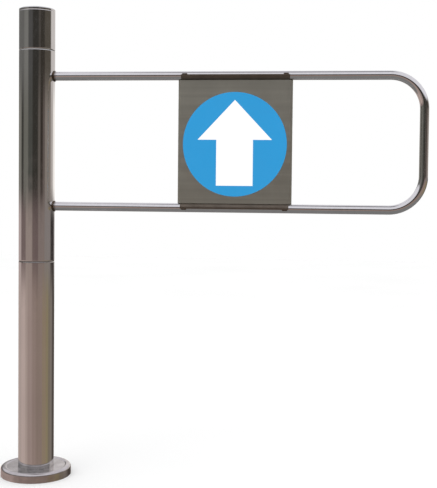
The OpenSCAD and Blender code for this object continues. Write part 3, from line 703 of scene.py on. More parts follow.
class Workshop:
    """Holds the finishes by name, and makes each one's material when it is first used."""

    # The lower seam ring's finish is the black bumper rubber lightened: painted light that lifts
    # the shade in its gap.
    # The saddle strips' finish is the panel stainless darkened: painted shade and painted dark
    # reflection.
    BELONGS: ClassVar[dict[str, Optional[str]]] = {
        "figure_print": None, "panel_stainless_painted_shade": "panel_stainless", "seam_rubber_painted_light": "bumper_rubber"}

    def __init__(self, welds: tuple[Point, ...]) -> None:
        """Lists the finishes.

        Args:
            welds: Middles of the welds that leave heat marks on the polished stainless.
        """
        self.shelf = EffectShelf()
        self.made: dict[str, bpy.types.Material] = {}
        listed: tuple[Finish, ...] = (
            WeldedStainlessFinish("polished_stainless", srgb(226, 225, 224), 0.045, 0.11, 0.06,
                                  9.0, Lay.UPRIGHT, 1300.0, 0.000004, 0.05, 0.0, welds),
            MetalFinish("pressed_stainless", srgb(208, 203, 202), 0.15, 0.25, 0.30, 34.0,
                        Lay.TURNED, 900.0, 0.0000008),
            MetalFinish("panel_stainless", srgb(190, 191, 179), 0.46, 0.56, 0.10, 16.0,
                        Lay.LEVEL, 1100.0, 0.00002, 0.12, 0.3),
            # Panel stainless darkened for the rolled saddle strips over the rails: painted shade
            # and painted dark reflection, not a different metal.
            MetalFinish("panel_stainless_painted_shade", srgb(126, 116, 104), 0.40, 0.56, 0.25, 40.0,
                        Lay.LEVEL, 1100.0, 0.00003, 0.2),
            WeldFinish("weld_metal", srgb(84, 78, 72), 0.3, 0.5),
            CoatedFinish("floor_plate_steel", srgb(112, 110, 108), 0.4, 0.65, 0.35, 30.0, 0.9),
            MetalFinish("machined_steel", srgb(208, 203, 198), 0.2, 0.36, 0.12, 40.0,
                        Lay.TURNED, 1500.0, 0.00002),
            MetalFinish("bearing_steel", srgb(220, 219, 218), 0.06, 0.14, 0.06, 60.0,
                        Lay.TURNED, 2200.0, 0.000004),
            MetalFinish("bearing_cage_brass", srgb(198, 158, 84), 0.22, 0.4, 0.2, 80.0,
                        Lay.TURNED, 1800.0, 0.00001),
            CoatedFinish("sintered_bronze", srgb(166, 118, 72), 0.35, 0.55, 0.2, 120.0, 1.0,
                         srgb(214, 172, 120), 0.4, 5200.0, 0.00005),
            CoatedFinish("spring_steel", srgb(96, 94, 96), 0.25, 0.42, 0.2, 60.0, 0.95,
                         srgb(190, 188, 186), 0.5, 2600.0, 0.00001),
            CoatedFinish("black_oxide", srgb(44, 43, 44), 0.3, 0.5, 0.2, 60.0, 0.7),
            MouldedFinish("bumper_rubber", srgb(30, 29, 29), 0.6, 0.85, 0.1, 40.0, 2200.0,
                          0.00006, 0.35, 0.05),
            # The black bumper rubber lightened to mid grey for the lower seam ring: painted light
            # that lifts the shade in the ring's recessed gap.
            MouldedFinish("seam_rubber_painted_light", srgb(96, 88, 84), 0.5, 0.7, 0.1, 40.0, 2200.0,
                          0.00003, 0.35),
            MouldedFinish("slip_nylon", srgb(112, 110, 106), 0.4, 0.55, 0.12, 40.0, 2600.0,
                          0.00003),
            MetalFinish("cam_aluminium", srgb(206, 207, 210), 0.25, 0.42, 0.1, 60.0,
                        Lay.TURNED, 1700.0, 0.00002),
            MouldedFinish("counter_shell", srgb(58, 62, 66), 0.42, 0.58, 0.08, 60.0, 2400.0,
                          0.00006),
            MetalFinish("counter_metal", srgb(198, 196, 192), 0.24, 0.4, 0.12, 60.0,
                        Lay.LEVEL, 1500.0, 0.00001),
            MouldedFinish("figure_plastic", srgb(236, 232, 220), 0.35, 0.5, 0.04, 60.0, 3000.0,
                          0.00002, 0.5, 0.0, 0.04),
            MouldedFinish("knob_plastic", srgb(34, 34, 36), 0.35, 0.5, 0.08, 60.0, 2600.0,
                          0.00004),
            WindowFinish("clear_window", srgb(246, 248, 248), 0.03, 0.08, 0.02),
            FilmFinish("blue_film", srgb(34, 150, 211), 0.32, 0.42, 0.03, 8.0),
            FilmFinish("white_film", srgb(250, 250, 250), 0.34, 0.44, 0.02, 8.0),
            MouldedFinish("figure_print", srgb(24, 24, 26), 0.4, 0.5, 0.05, 60.0, 3000.0,
                          0.00001),
        )
        self.finishes = {finish.slot: finish for finish in listed}

    def recorded(self, slot: str) -> Optional[str]:
        """Returns the record's slot that a finish belongs to, or None if it has none."""
        return self.BELONGS.get(slot, slot)

    def material(self, slot: str) -> bpy.types.Material:
        """Returns the slot's material, made when it is first asked for."""
        if slot not in self.made:
            self.made[slot] = self.finishes[slot].material(self.shelf)
        return self.made[slot]


# ---- Mesh helpers ----


def closed_loop(bm: bmesh.types.BMesh, outline: Outline, closed: bool) -> list[bmesh.types.BMVert]:
    """Draws a half outline in the upright XZ plane.

    Args:
        bm: The mesh to draw in.
        outline: Radii and heights.
        closed: Whether the last point joins the first.

    Returns:
        The outline's points.
    """
    points = [bm.verts.new((radius, 0.0, height)) for radius, height in outline]
    for first, second in zip(points, points[1:] + (points[:1] if closed else [])):
        bm.edges.new((first, second))
    return points


def revolve(outline: Outline, closed: bool = True, steps: int = AROUND) -> bmesh.types.BMesh:
    """Turns a half outline round the upright axis.

    Args:
        outline: Radii and heights, in metres.
        closed: Whether the outline is a loop. An open one starts and ends on the axis,
            or is a sheet.
        steps: Sides of the round.

    Returns:
        The mesh, closed at its seam and poles, with its faces outwards.
    """
    bm = bmesh.new()
    closed_loop(bm, outline, closed)
    bmesh.ops.spin(bm, geom=bm.verts[:] + bm.edges[:], cent=(0, 0, 0), axis=(0, 0, 1),
                   angle=math.tau, steps=steps, use_merge=True, use_duplicate=False)
    bmesh.ops.remove_doubles(bm, verts=bm.verts, dist=1e-7)
    bmesh.ops.recalc_face_normals(bm, faces=bm.faces)
    return bm


def ease(bm: bmesh.types.BMesh, size: float, segments: int = 2, steeper: float = 35.0,
         where: Optional[Callable[[Vector], bool]] = None) -> None:
    """Rounds the sharp edges of a mesh.

    Args:
        bm: The mesh.
        size: The rounding's size.
        segments: Its segments.
        steeper: Only edges with a steeper angle than this, in degrees, are rounded.
        where: Only edges whose middle passes this test are rounded.
    """
    sharp = [edge for edge in bm.edges
             if len(edge.link_faces) == 2 and edge.calc_face_angle() > math.radians(steeper)
             and (where is None or where((edge.verts[0].co + edge.verts[1].co) / 2))]
    bmesh.ops.bevel(bm, geom=sharp, offset=size, offset_type="OFFSET", segments=segments,
                    profile=0.5, affect="EDGES", material=-1, clamp_overlap=True)


def tube(outer: float, inner: float, bottom: float, top: float, edge: float,
         steps: int = AROUND) -> bmesh.types.BMesh:
    """Makes an upright tube with eased edges.

    A guard ring near each end keeps the shading of its long sides straight.

    Args:
        outer: Its outer radius.
        inner: Its inner radius.
        bottom: Height of its lower end.
        top: Height of its upper end.
        edge: Size of its eased edges.
        steps: Sides of the round.

    Returns:
        The mesh.
    """
    bm = revolve([(inner, bottom), (outer, bottom), (outer, bottom + GUARD),
                  (outer, top - GUARD), (outer, top), (inner, top), (inner, top - GUARD),
                  (inner, bottom + GUARD)], steps=steps)
    ease(bm, edge)
    return bm


def coil(radius: float, wire: float, bottom: float, pitch: float, turns: int, per_turn: int,
         sides: int) -> tuple[bmesh.types.BMesh, list[bmesh.types.BMVert]]:
    """Winds a round wire into a coil that starts and ends on the +X side.

    Args:
        radius: The coil's radius at the wire's middle.
        wire: The wire's radius.
        bottom: Height of the first turn's start.
        pitch: Rise of one turn.
        turns: Number of turns.
        per_turn: Steps in one turn.
        sides: Sides of the wire.

    Returns:
        The mesh, open at both ends, and the points of its upper end.
    """
    bm = bmesh.new()
    start = bmesh.ops.create_circle(bm, cap_ends=False, segments=sides, radius=wire,
                                    matrix=Matrix.Translation((radius, 0, bottom))
                                    @ Matrix.Rotation(math.pi / 2, 4, "X"))
    rim = start["verts"]
    turned = bmesh.ops.spin(bm, geom=rim + list({e for v in rim for e in v.link_edges}),
                            cent=(0, 0, 0), axis=(0, 0, 1), dvec=(0, 0, pitch / per_turn),
                            angle=math.tau * turns, steps=per_turn * turns, use_merge=False)
    last = [item for item in turned["geom_last"] if isinstance(item, bmesh.types.BMVert)]
    return bm, last


def end_rim(bm: bmesh.types.BMesh,
            points: Iterable[bmesh.types.BMVert]) -> list[bmesh.types.BMEdge]:
    """Returns the open or bare edges between the given points."""
    chosen = set(points)
    return [edge for edge in bm.edges
            if (edge.is_boundary or edge.is_wire) and set(edge.verts) <= chosen]


def pull(bm: bmesh.types.BMesh, points: Iterable[bmesh.types.BMVert],
         by: Point) -> list[bmesh.types.BMVert]:
    """Draws an open end out along a straight line.

    Args:
        bm: The mesh.
        points: The open end's points.
        by: How far, and in which direction.

    Returns:
        The new end's points.
    """
    drawn = bmesh.ops.extrude_edge_only(bm, edges=end_rim(bm, points))
    moved = [item for item in drawn["geom"] if isinstance(item, bmesh.types.BMVert)]
    bmesh.ops.translate(bm, verts=moved, vec=by)
    return moved


def bend(bm: bmesh.types.BMesh, points: Iterable[bmesh.types.BMVert], centre: Point, axis: Point,
         degrees: float, steps: int) -> list[bmesh.types.BMVert]:
    """Draws an open end out round a bend.

    Args:
        bm: The mesh.
        points: The open end's points.
        centre: The bend's centre.
        axis: The bend's axis.
        degrees: The bend's angle.
        steps: Its steps.

    Returns:
        The new end's points.
    """
    rim = list(points)
    turned = bmesh.ops.spin(bm, geom=rim + end_rim(bm, rim), cent=centre, axis=axis,
                            angle=math.radians(degrees), steps=steps, use_merge=False)
    return [item for item in turned["geom_last"] if isinstance(item, bmesh.types.BMVert)]


# ---- Sub-assemblies ----


@dataclass
class SubAssembly:
    """Base of the sub-assemblies: adds new pieces and dresses the CAD's own."""

    workshop: Workshop

    def add(self, bm: bmesh.types.BMesh, name: str, body: str, slot: str, *nodes: str,
            sharp: float = 40.0, wall: float = 0.0) -> bpy.types.Object:
        """Makes a piece from a mesh, and lets it ride.

        Args:
            bm: The mesh, which is used up.
            name: The piece's name.
            body: The CAD body that it rides on, or nothing if it rides on none.
            slot: The slot of its finish.
            nodes: The CAD nodes that it stands for.
            sharp: Edges steeper than this, in degrees, stay sharp.
            wall: Thickness of its wall, inwards, where the mesh is a sheet.

        Returns:
            The piece.
        """
        if wall:
            bmesh.ops.solidify(bm, geom=bm.faces[:], thickness=wall)
        mesh = bpy.data.meshes.new(name)
        for face in bm.faces:
            face.smooth = True
        bm.to_mesh(mesh)
        bm.free()
        mesh.set_sharp_from_angle(angle=math.radians(sharp))
        mesh.materials.append(self.workshop.material(slot))
        piece = bpy.data.objects.new(name, mesh)
        bpy.context.scene.collection.objects.link(piece)
        if body:
            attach(piece, body)
        if nodes:
            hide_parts(*nodes)
        recorded = self.workshop.recorded(slot)
        LOG.info("%s: %d faces, on %s", name, len(mesh.polygons), body or "two bodies")
        return piece

    def dress(self, slot: str, *nodes: str) -> None:
        """Gives CAD nodes a finish.

        Args:
            slot: The slot of the finish.
            nodes: The CAD nodes.
        """
        for node in nodes:
            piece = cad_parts[node]
            material = self.workshop.material(slot)
            if not piece.material_slots:
                piece.data.materials.append(material)
            for place in piece.material_slots:
                place.material = material
            LOG.info("%s: dressed in %s", node, slot)

    def soften(self, node: str, body: str, slot: str, size: float) -> bpy.types.Object:
        """Makes a copy of a CAD node with eased edges, which stands for it.

        Args:
            node: The CAD node.
            body: The body that it rides on.
            slot: The slot of its finish.
            size: Size of the eased edges.

        Returns:
            The piece.
        """
        bm = bmesh.new()
        bm.from_mesh(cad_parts[node].data)
        bmesh.ops.remove_doubles(bm, verts=bm.verts, dist=1e-6)
        bmesh.ops.dissolve_limit(bm, angle_limit=math.radians(0.4), verts=bm.verts, edges=bm.edges)
        piece = self.add(bm, f"{node}_eased", body, slot, node, sharp=30.0)
        rounding = piece.modifiers.new("eased_edges", "BEVEL")
        rounding.width = size
        rounding.segments = 2
        rounding.limit_method = "ANGLE"
        rounding.angle_limit = math.radians(30.0)
        rounding.harden_normals = True
        return piece

    def build(self) -> None:
        """Builds and dresses every piece of the sub-assembly."""
        raise NotImplementedError


@dataclass
class FloorBase(SubAssembly):
    """The bolted plate and the loose pressed cover over it."""

    cover_sheet: float = 1.5 * MM
    shoulder: float = 6.0 * MM
    rim_width: float = 5.0 * MM
    sink: float = 1.0 * MM
    opening_gap: float = 0.3 * MM

    def build(self) -> None:
        """Builds the cover, and dresses the plate and its weld."""
        self.build_cover()
        self.build_weld()
        self.dress("floor_plate_steel", "base_plate")

    def build_cover(self) -> None:
        """Presses the cover: a skirt, a rolled shoulder and a middle that is slightly sunk."""
        low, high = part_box("base_cover")
        outer = high[0]
        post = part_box("post_tube")[1][0]
        sunk = outer - self.shoulder - self.rim_width
        flat = high[2] - self.sink
        bm = revolve([(outer, low[2]), (outer, high[2]), (sunk + GUARD, high[2]), (sunk, high[2]),
                      (sunk - self.sink, flat), (sunk - self.sink - GUARD, flat),
                      (post + self.opening_gap, flat)], closed=False, steps=192)
        ease(bm, self.shoulder, 12, 60.0, lambda middle: middle.to_2d().length > outer * 0.98)
        ease(bm, 0.6 * MM, 3, 20.0, lambda middle: middle.to_2d().length < sunk + 0.2 * MM)
        self.add(bm, "base_cover_pressed", "base_cover", "pressed_stainless", "base_cover",
                 sharp=50.0, wall=self.cover_sheet)

    def build_weld(self) -> None:
        """Lays the rippled bead between the plate and the post."""
        low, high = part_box("base_weld")
        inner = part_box("post_tube")[1][0]
        leg = high[2] - low[2]
        bm = revolve([(inner + 0.05 * MM, low[2]), (high[0], low[2]),
                      (inner + leg * 0.55, low[2] + leg * 0.55), (inner + 0.05 * MM, high[2])],
                     steps=180)
        for vert in bm.verts:
            if vert.co.to_2d().length > inner + 0.5 * MM and vert.co.z > low[2] + 0.5 * MM:
                azimuth = math.atan2(vert.co.y, vert.co.x)
                ripple = 0.12 * MM * math.sin(azimuth * 60)
                vert.co.xy = vert.co.xy * (1 + ripple / inner)
        self.add(bm, "base_weld_bead", "post", "weld_metal", "base_weld", sharp=60.0)


@dataclass
class FixedPost(SubAssembly):
    """The lower tube of the post, the mast in it and the two slip rings in the post's joints."""

    edge: float = 0.4 * MM
    wall: float = 2.0 * MM
    ring_edge: float = 0.2 * MM
    ring_depth: float = 4.2 * MM
    ring_flange: float = 1.8 * MM
    spigot_inset: float = 1.25 * MM

    def build(self) -> None:
        """Builds the tube and the slip rings, and dresses the mast."""
        low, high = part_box("post_tube")
        self.add(tube(high[0], high[0] - self.wall, low[2], high[2], self.edge),
                 "post_tube_polished", "post", "polished_stainless", "post_tube")
        # The lower ring takes the lightened rubber: painted light in the seam's gap.
        self.build_ring("seam_ring_low", "seam_rubber_painted_light")
        self.build_ring("seam_ring_top", "slip_nylon")
        self.dress("machined_steel", "mast", "mast_plugs", "spacer")

    def build_ring(self, node: str, slot: str) -> None:
        """Builds a slip ring with its spigot, if it has one.

        Args:
            node: The CAD node that it stands for.
            slot: The slot of its finish.
        """
        low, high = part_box(node)
        outer = high[0]
        bore = outer - self.ring_depth
        spigot = outer - self.spigot_inset
        under = high[2] - self.ring_flange
        outline = [(bore, low[2]), (outer, low[2]), (outer, high[2]), (bore, high[2])]
        if high[2] - low[2] > 2 * self.ring_flange:
            outline = [(bore, low[2]), (spigot, low[2]), (spigot, under), (outer, under),
                       (outer, high[2]), (bore, high[2])]
        bm = revolve(outline)
        ease(bm, self.ring_edge)
        self.add(bm, f"{node}_turned", "post", slot, node)


@dataclass
class Bearings(SubAssembly):
    """The two ball bearings, their housings and the nut that holds the upper one."""

    def build(self) -> None:
        """Dresses the rings, cages, balls, seals and housings."""
        self.dress("bearing_steel", "low_bearing_inner", "low_bearing_outer", "low_bearing_balls",
                   "top_bearing_inner", "top_bearing_outer", "top_bearing_balls")
        self.dress("bearing_cage_brass", "low_bearing_cage", "top_bearing_cage")
        self.dress("bumper_rubber", "low_bearing_seals")
        self.dress("machined_steel", "low_housing", "top_housing")
        self.dress("black_oxide", "mast_nut")


@dataclass
class SwingGate(SubAssembly):
    """The turning sleeve with its U-bent arm and the sign between the arm's rails."""

    edge: float = 0.4 * MM
    wall: float = 2.0 * MM
    arm_wall: float = 1.0 * MM
    bend_radius: float = 70.0 * MM
    arm_sides: int = 48
    bend_steps: int = 28
    bead: float = 1.6 * MM
    bead_lap: float = 0.9 * MM
    bead_rise: float = 0.5 * MM
    bead_ripple: float = 0.018
    sheet: float = 1.0 * MM
    saddle_edge: float = 0.2 * MM
    rails: tuple[float, float] = field(init=False)

    def __post_init__(self) -> None:
        """Works out the rails' heights from the arm's box."""
        low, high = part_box("arm_tube")
        radius = (high[1] - low[1]) / 2
        self.rails = (low[2] + radius, high[2] - radius)

    def build(self) -> None:
        """Builds the sleeve, arm, welds and sign."""
        low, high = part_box("gate_sleeve")
        self.add(tube(high[0], high[0] - self.wall, low[2], high[2], self.edge),
                 "gate_sleeve_polished", "gate", "polished_stainless", "gate_sleeve")
        self.build_arm()
        self.build_welds(high[0])
        self.build_panel()
        # The saddle strips take the darkened copy of the panel stainless: painted shade.
        self.soften("panel_saddles", "gate", "panel_stainless_painted_shade", self.saddle_edge)
        self.dress("panel_stainless", "panel_ends")
        self.dress("weld_metal", "panel_tacks")
        self.dress("blue_film", "sign_disc")
        self.dress("white_film", "sign_arrow")

    def build_arm(self) -> None:
        """Bends the arm from one tube: out along the top rail, down, and back below."""
        low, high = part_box("arm_tube")
        radius = (high[1] - low[1]) / 2
        bottom, top = self.rails
        bend_x = high[0] - radius - self.bend_radius
        bm = bmesh.new()
        start = bmesh.ops.create_circle(
            bm, cap_ends=False, segments=self.arm_sides, radius=radius,
            matrix=Matrix.Translation((low[0], 0, top)) @ Matrix.Rotation(math.pi / 2, 4, "Y"))
        run = pull(bm, start["verts"], (bend_x - low[0], 0, 0))
        run = bend(bm, run, (bend_x, 0, top - self.bend_radius), (0, 1, 0), 90.0,
                   self.bend_steps)
        run = pull(bm, run, (0, 0, bottom - top + 2 * self.bend_radius))
        run = bend(bm, run, (bend_x, 0, bottom + self.bend_radius), (0, 1, 0), 90.0,
                   self.bend_steps)
        pull(bm, run, (low[0] - bend_x, 0, 0))
        bmesh.ops.recalc_face_normals(bm, faces=bm.faces)
        self.add(bm, "arm_tube_bent", "gate", "polished_stainless", "arm_tube",
                 wall=self.arm_wall)

    def build_welds(self, sleeve: float) -> None:
        """Lays a rippled bead round each rail, saddled on the sleeve.

        Args:
            sleeve: The sleeve's radius.
        """
        low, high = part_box("arm_tube")
        rise = (high[1] - low[1]) / 2 + self.bead_rise
        upright = Matrix.Rotation(math.pi / 2, 4, "X")
        bm = bmesh.new()
        for rail in self.rails:
            centre = Matrix.Translation((sleeve + self.bead_lap, 0, rail + rise))
            ring = bmesh.ops.create_circle(bm, cap_ends=False, segments=12, radius=self.bead,
                                           matrix=centre @ upright)["verts"]
            edges = list({edge for vert in ring for edge in vert.link_edges})
            bmesh.ops.spin(bm, geom=ring + edges, cent=(0, 0, rail), axis=(1, 0, 0),
                           angle=math.tau, steps=72, use_merge=True, use_duplicate=False)
        bmesh.ops.remove_doubles(bm, verts=bm.verts, dist=1e-7)
        bmesh.ops.recalc_face_normals(bm, faces=bm.faces)
        for vert in bm.verts:
            rail = min(self.rails, key=lambda level: abs(level - vert.co.z))
            around = math.atan2(vert.co.y, vert.co.z - rail)
            ripple = 1 + self.bead_ripple * math.sin(around * 24)
            vert.co.y *= ripple
            vert.co.z = rail + (vert.co.z - rail) * ripple
            vert.co.x += math.sqrt(max(sleeve ** 2 - vert.co.y ** 2, 0.0)) - sleeve
        self.add(bm, "arm_weld_beads", "gate", "weld_metal", "arm_welds", sharp=70.0)

    def build_panel(self) -> None:
        """Folds the panel: two flat faces joined by a round edge at each side."""
        low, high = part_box("sign_panel")
        half = (high[1] - low[1]) / 2
        left, right = low[0] + half, high[0] - half
        bm = bmesh.new()
        bow = []
        for middle, side in ((right, -half), (left, half)):
            first = bm.verts.new((middle, side, low[2]))
            turned = bmesh.ops.spin(bm, geom=[first], cent=(middle, 0, low[2]), axis=(0, 0, 1),
                                    angle=math.pi, steps=20, use_merge=False)
            bow += [first, turned["geom_last"][0]]
        bm.edges.new((bow[1], bow[2]))
        bm.edges.new((bow[3], bow[0]))
        pull(bm, bm.verts, (0, 0, high[2] - low[2]))
        bmesh.ops.recalc_face_normals(bm, faces=bm.faces)
        self.add(bm, "sign_panel_folded", "gate", "panel_stainless", "sign_panel",
                 sharp=30.0, wall=self.sheet)


@dataclass
class ReturnAndStops(SubAssembly):
    """The spring that swings the gate back, its two anchors, and the stops with their bumpers."""

    wire: float = 2.25 * MM
    turns: int = 15
    pitch: float = 5.2 * MM
    leg: float = 14.0 * MM

    def build(self) -> None:
        """Winds the spring and dresses what it works with."""
        self.wind_spring()
        self.dress("machined_steel", "spring_collar", "spring_ring", "stop_collar", "limit_ring")
        self.dress("black_oxide", "set_screws", "stop_bolt")
        self.dress("bumper_rubber", "stop_bumpers")

    def wind_spring(self) -> None:
        """Winds the return spring with an upright leg at each end."""
        low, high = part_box("return_spring")
        radius = (high[1] - low[1]) / 2 - self.wire
        turn = 3 * self.wire
        bottom = low[2] + self.leg + turn
        bm, top_rim = coil(radius, self.wire, bottom, self.pitch, self.turns, 40, 12)
        first_rim = [vert for vert in bm.verts if vert.is_boundary and abs(vert.co.y) < 1e-6
                     and vert.co.z < bottom + self.wire * 1.5]
        top = bottom + self.turns * self.pitch
        legs = bend(bm, top_rim, (radius, 0, top + turn), (1, 0, 0), 90.0, 8)
        ends = [pull(bm, legs, (0, 0, self.leg))]
        legs = bend(bm, first_rim, (radius, 0, bottom - turn), (1, 0, 0), 90.0, 8)
        ends.append(pull(bm, legs, (0, 0, -self.leg)))
        for end in ends:
            bmesh.ops.contextual_create(bm, geom=end_rim(bm, end))
        bmesh.ops.recalc_face_normals(bm, faces=bm.faces)
        spring = self.add(bm, "return_spring_wound", "", "spring_steel", "return_spring",
                          sharp=60.0)
        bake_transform(spring)


@dataclass
class CountDrive(SubAssembly):
    """The cam on the turning sleeve, and the sprung plunger whose roller runs on it."""

    wire: float = 0.35 * MM
    turns: int = 6

    def build(self) -> None:
        """Winds the plunger's spring and dresses the rest."""
        self.wind_spring()
        self.dress("cam_aluminium", "count_cam")
        self.dress("black_oxide", "cam_screws")
        self.dress("bearing_steel", "cam_roller", "roller_pin")
        self.dress("machined_steel", "plunger")
        self.dress("slip_nylon", "plunger_pad")
        self.dress("sintered_bronze", "plunger_bush")

    def wind_spring(self) -> None:
        """Winds the small spring round the plunger."""
        low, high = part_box("plunger_spring")
        middle = ((low[0] + high[0]) / 2, (low[1] + high[1]) / 2, 0.0)
        radius = (high[1] - low[1]) / 2 - self.wire
        length = high[2] - low[2] - 2 * self.wire
        bm, top_rim = coil(radius, self.wire, low[2] + self.wire, length / self.turns,
                           self.turns, 28, 8)
        first_rim = [vert for vert in bm.verts if vert.is_boundary and vert not in top_rim]
        for rim in (top_rim, first_rim):
            bmesh.ops.contextual_create(bm, geom=end_rim(bm, rim))
        bmesh.ops.recalc_face_normals(bm, faces=bm.faces)
        bmesh.ops.translate(bm, verts=bm.verts, vec=middle)
        spring = self.add(bm, "plunger_spring_wound", "", "spring_steel", "plunger_spring",
                          sharp=60.0)
        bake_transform(spring)


@dataclass
class PostHead(SubAssembly):
    """The lift-off head tube with its end cap, and the base that it sits on."""

    edge: float = 0.2 * MM
    wall: float = 2.0 * MM
    cap_rim: float = 2.0 * MM
    cap_plate: float = 6.0 * MM
    spigot_inset: float = 2.05 * MM
    near: float = 0.1 * MM

    def build(self) -> None:
        """Builds the tube and the cap, and dresses the base and its rubber ring."""
        low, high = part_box("head_sleeve")
        self.add(tube(high[0], high[0] - self.wall, low[2], high[2], self.edge),
                 "head_sleeve_polished", "head", "polished_stainless", "head_sleeve")
        self.build_cap()
        self.dress("machined_steel", "head_base")
        self.dress("bumper_rubber", "head_seal")

    def build_cap(self) -> None:
        """Turns the cap: a plate with a rounded rim, and a spigot pressed into the tube."""
        low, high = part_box("head_cap")
        outer = high[0]
        spigot = outer - self.spigot_inset
        under = high[2] - self.cap_plate
        bore = spigot - self.wall
        bm = revolve([(0, under), (bore, under), (bore, low[2]),
                      (spigot, low[2]), (spigot, under), (outer, under), (outer, under + GUARD),
                      (outer, high[2]), (outer - 2 * self.cap_rim, high[2]), (0, high[2])],
                     closed=False)
        ease(bm, self.cap_rim, 6, 60.0, lambda middle: middle.z > high[2] - self.near)
        ease(bm, self.edge, 2, 60.0, lambda middle: (
            middle.to_2d().length > outer - self.near and middle.z < under + self.near))
        self.add(bm, "head_cap_turned", "head", "polished_stainless", "head_cap")


@dataclass
class StrokeCounter(SubAssembly):
    """The counter in the head: its case, window, figure wheels, lever and reset knob."""

    figure_size: float = 5.805 * MM
    figure_lift: float = 0.04 * MM
    figure_turn: float = 36.0

    def build(self) -> None:
        """Builds the case, wheels and figures, and dresses the rest."""
        self.soften("counter_case", "post", "counter_shell", 0.5 * MM)
        self.soften("counter_bracket", "post", "counter_metal", 0.2 * MM)
        self.soften("reset_knob", "reset_shaft", "knob_plastic", 0.35 * MM)
        self.soften("counter_lever", "lever", "counter_metal", 0.25 * MM)
        self.dress("clear_window", "counter_window")
        self.dress("counter_metal", "counter_shaft", "counter_screws")
        self.dress("figure_plastic", "units_wheel", "tens_wheel", "upper_wheels")
        self.print_figures()

    def print_figures(self) -> None:
        """Prints the figures 0 to 9 round each wheel, with 0 in the window."""
        low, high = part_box("units_wheel")
        axis = ((low[0] + high[0]) / 2, (low[2] + high[2]) / 2)
        radius = (high[2] - low[2]) / 2
        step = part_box("tens_wheel")[0][1] - low[1]
        first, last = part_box("upper_wheels")
        count = 2 + round((last[1] - first[1]) / step)
        middle = (low[1] + high[1]) / 2
        places = {"units_wheel": [middle], "tens_wheel": [middle + step],
                  "upper_wheels": [middle + step * place for place in range(2, count)]}
        for body, rows in places.items():
            bm = bmesh.new()
            for row in rows:
                for figure in range(10):
                    self.print_figure(bm, figure, axis, radius, row)
            self.add(bm, f"{body}_figures", body, "figure_print", sharp=30.0)

    def print_figure(self, bm: bmesh.types.BMesh, figure: int, axis: tuple[float, float],
                     radius: float, row: float) -> None:
        """Prints one figure on a wheel, bent to its rim.

        Args:
            bm: The mesh that takes the figure.
            figure: The figure, 0 to 9.
            axis: The shaft's place, across and up.
            radius: The wheel's radius.
            row: The wheel's middle along the shaft.
        """
        letter = bpy.data.curves.new("figure", "FONT")
        letter.body = str(figure)
        letter.size = self.figure_size
        letter.extrude = self.figure_lift
        letter.align_x, letter.align_y = "CENTER", "CENTER"
        holder = bpy.data.objects.new("figure", letter)
        flat = bpy.data.meshes.new_from_object(holder)
        before = len(bm.verts)
        bm.from_mesh(flat)
        bm.verts.ensure_lookup_table()
        for vert in bm.verts[before:]:
            right, up, out = vert.co
            angle = up / radius - math.radians(self.figure_turn * figure)
            rim = radius + max(out, -0.5 * self.figure_lift)
            vert.co = (axis[0] + rim * math.sin(angle), row - right,
                       axis[1] + rim * math.cos(angle))
        bpy.data.objects.remove(holder)
        bpy.data.curves.remove(letter)
        bpy.data.meshes.remove(flat)


# ---- Studio ----


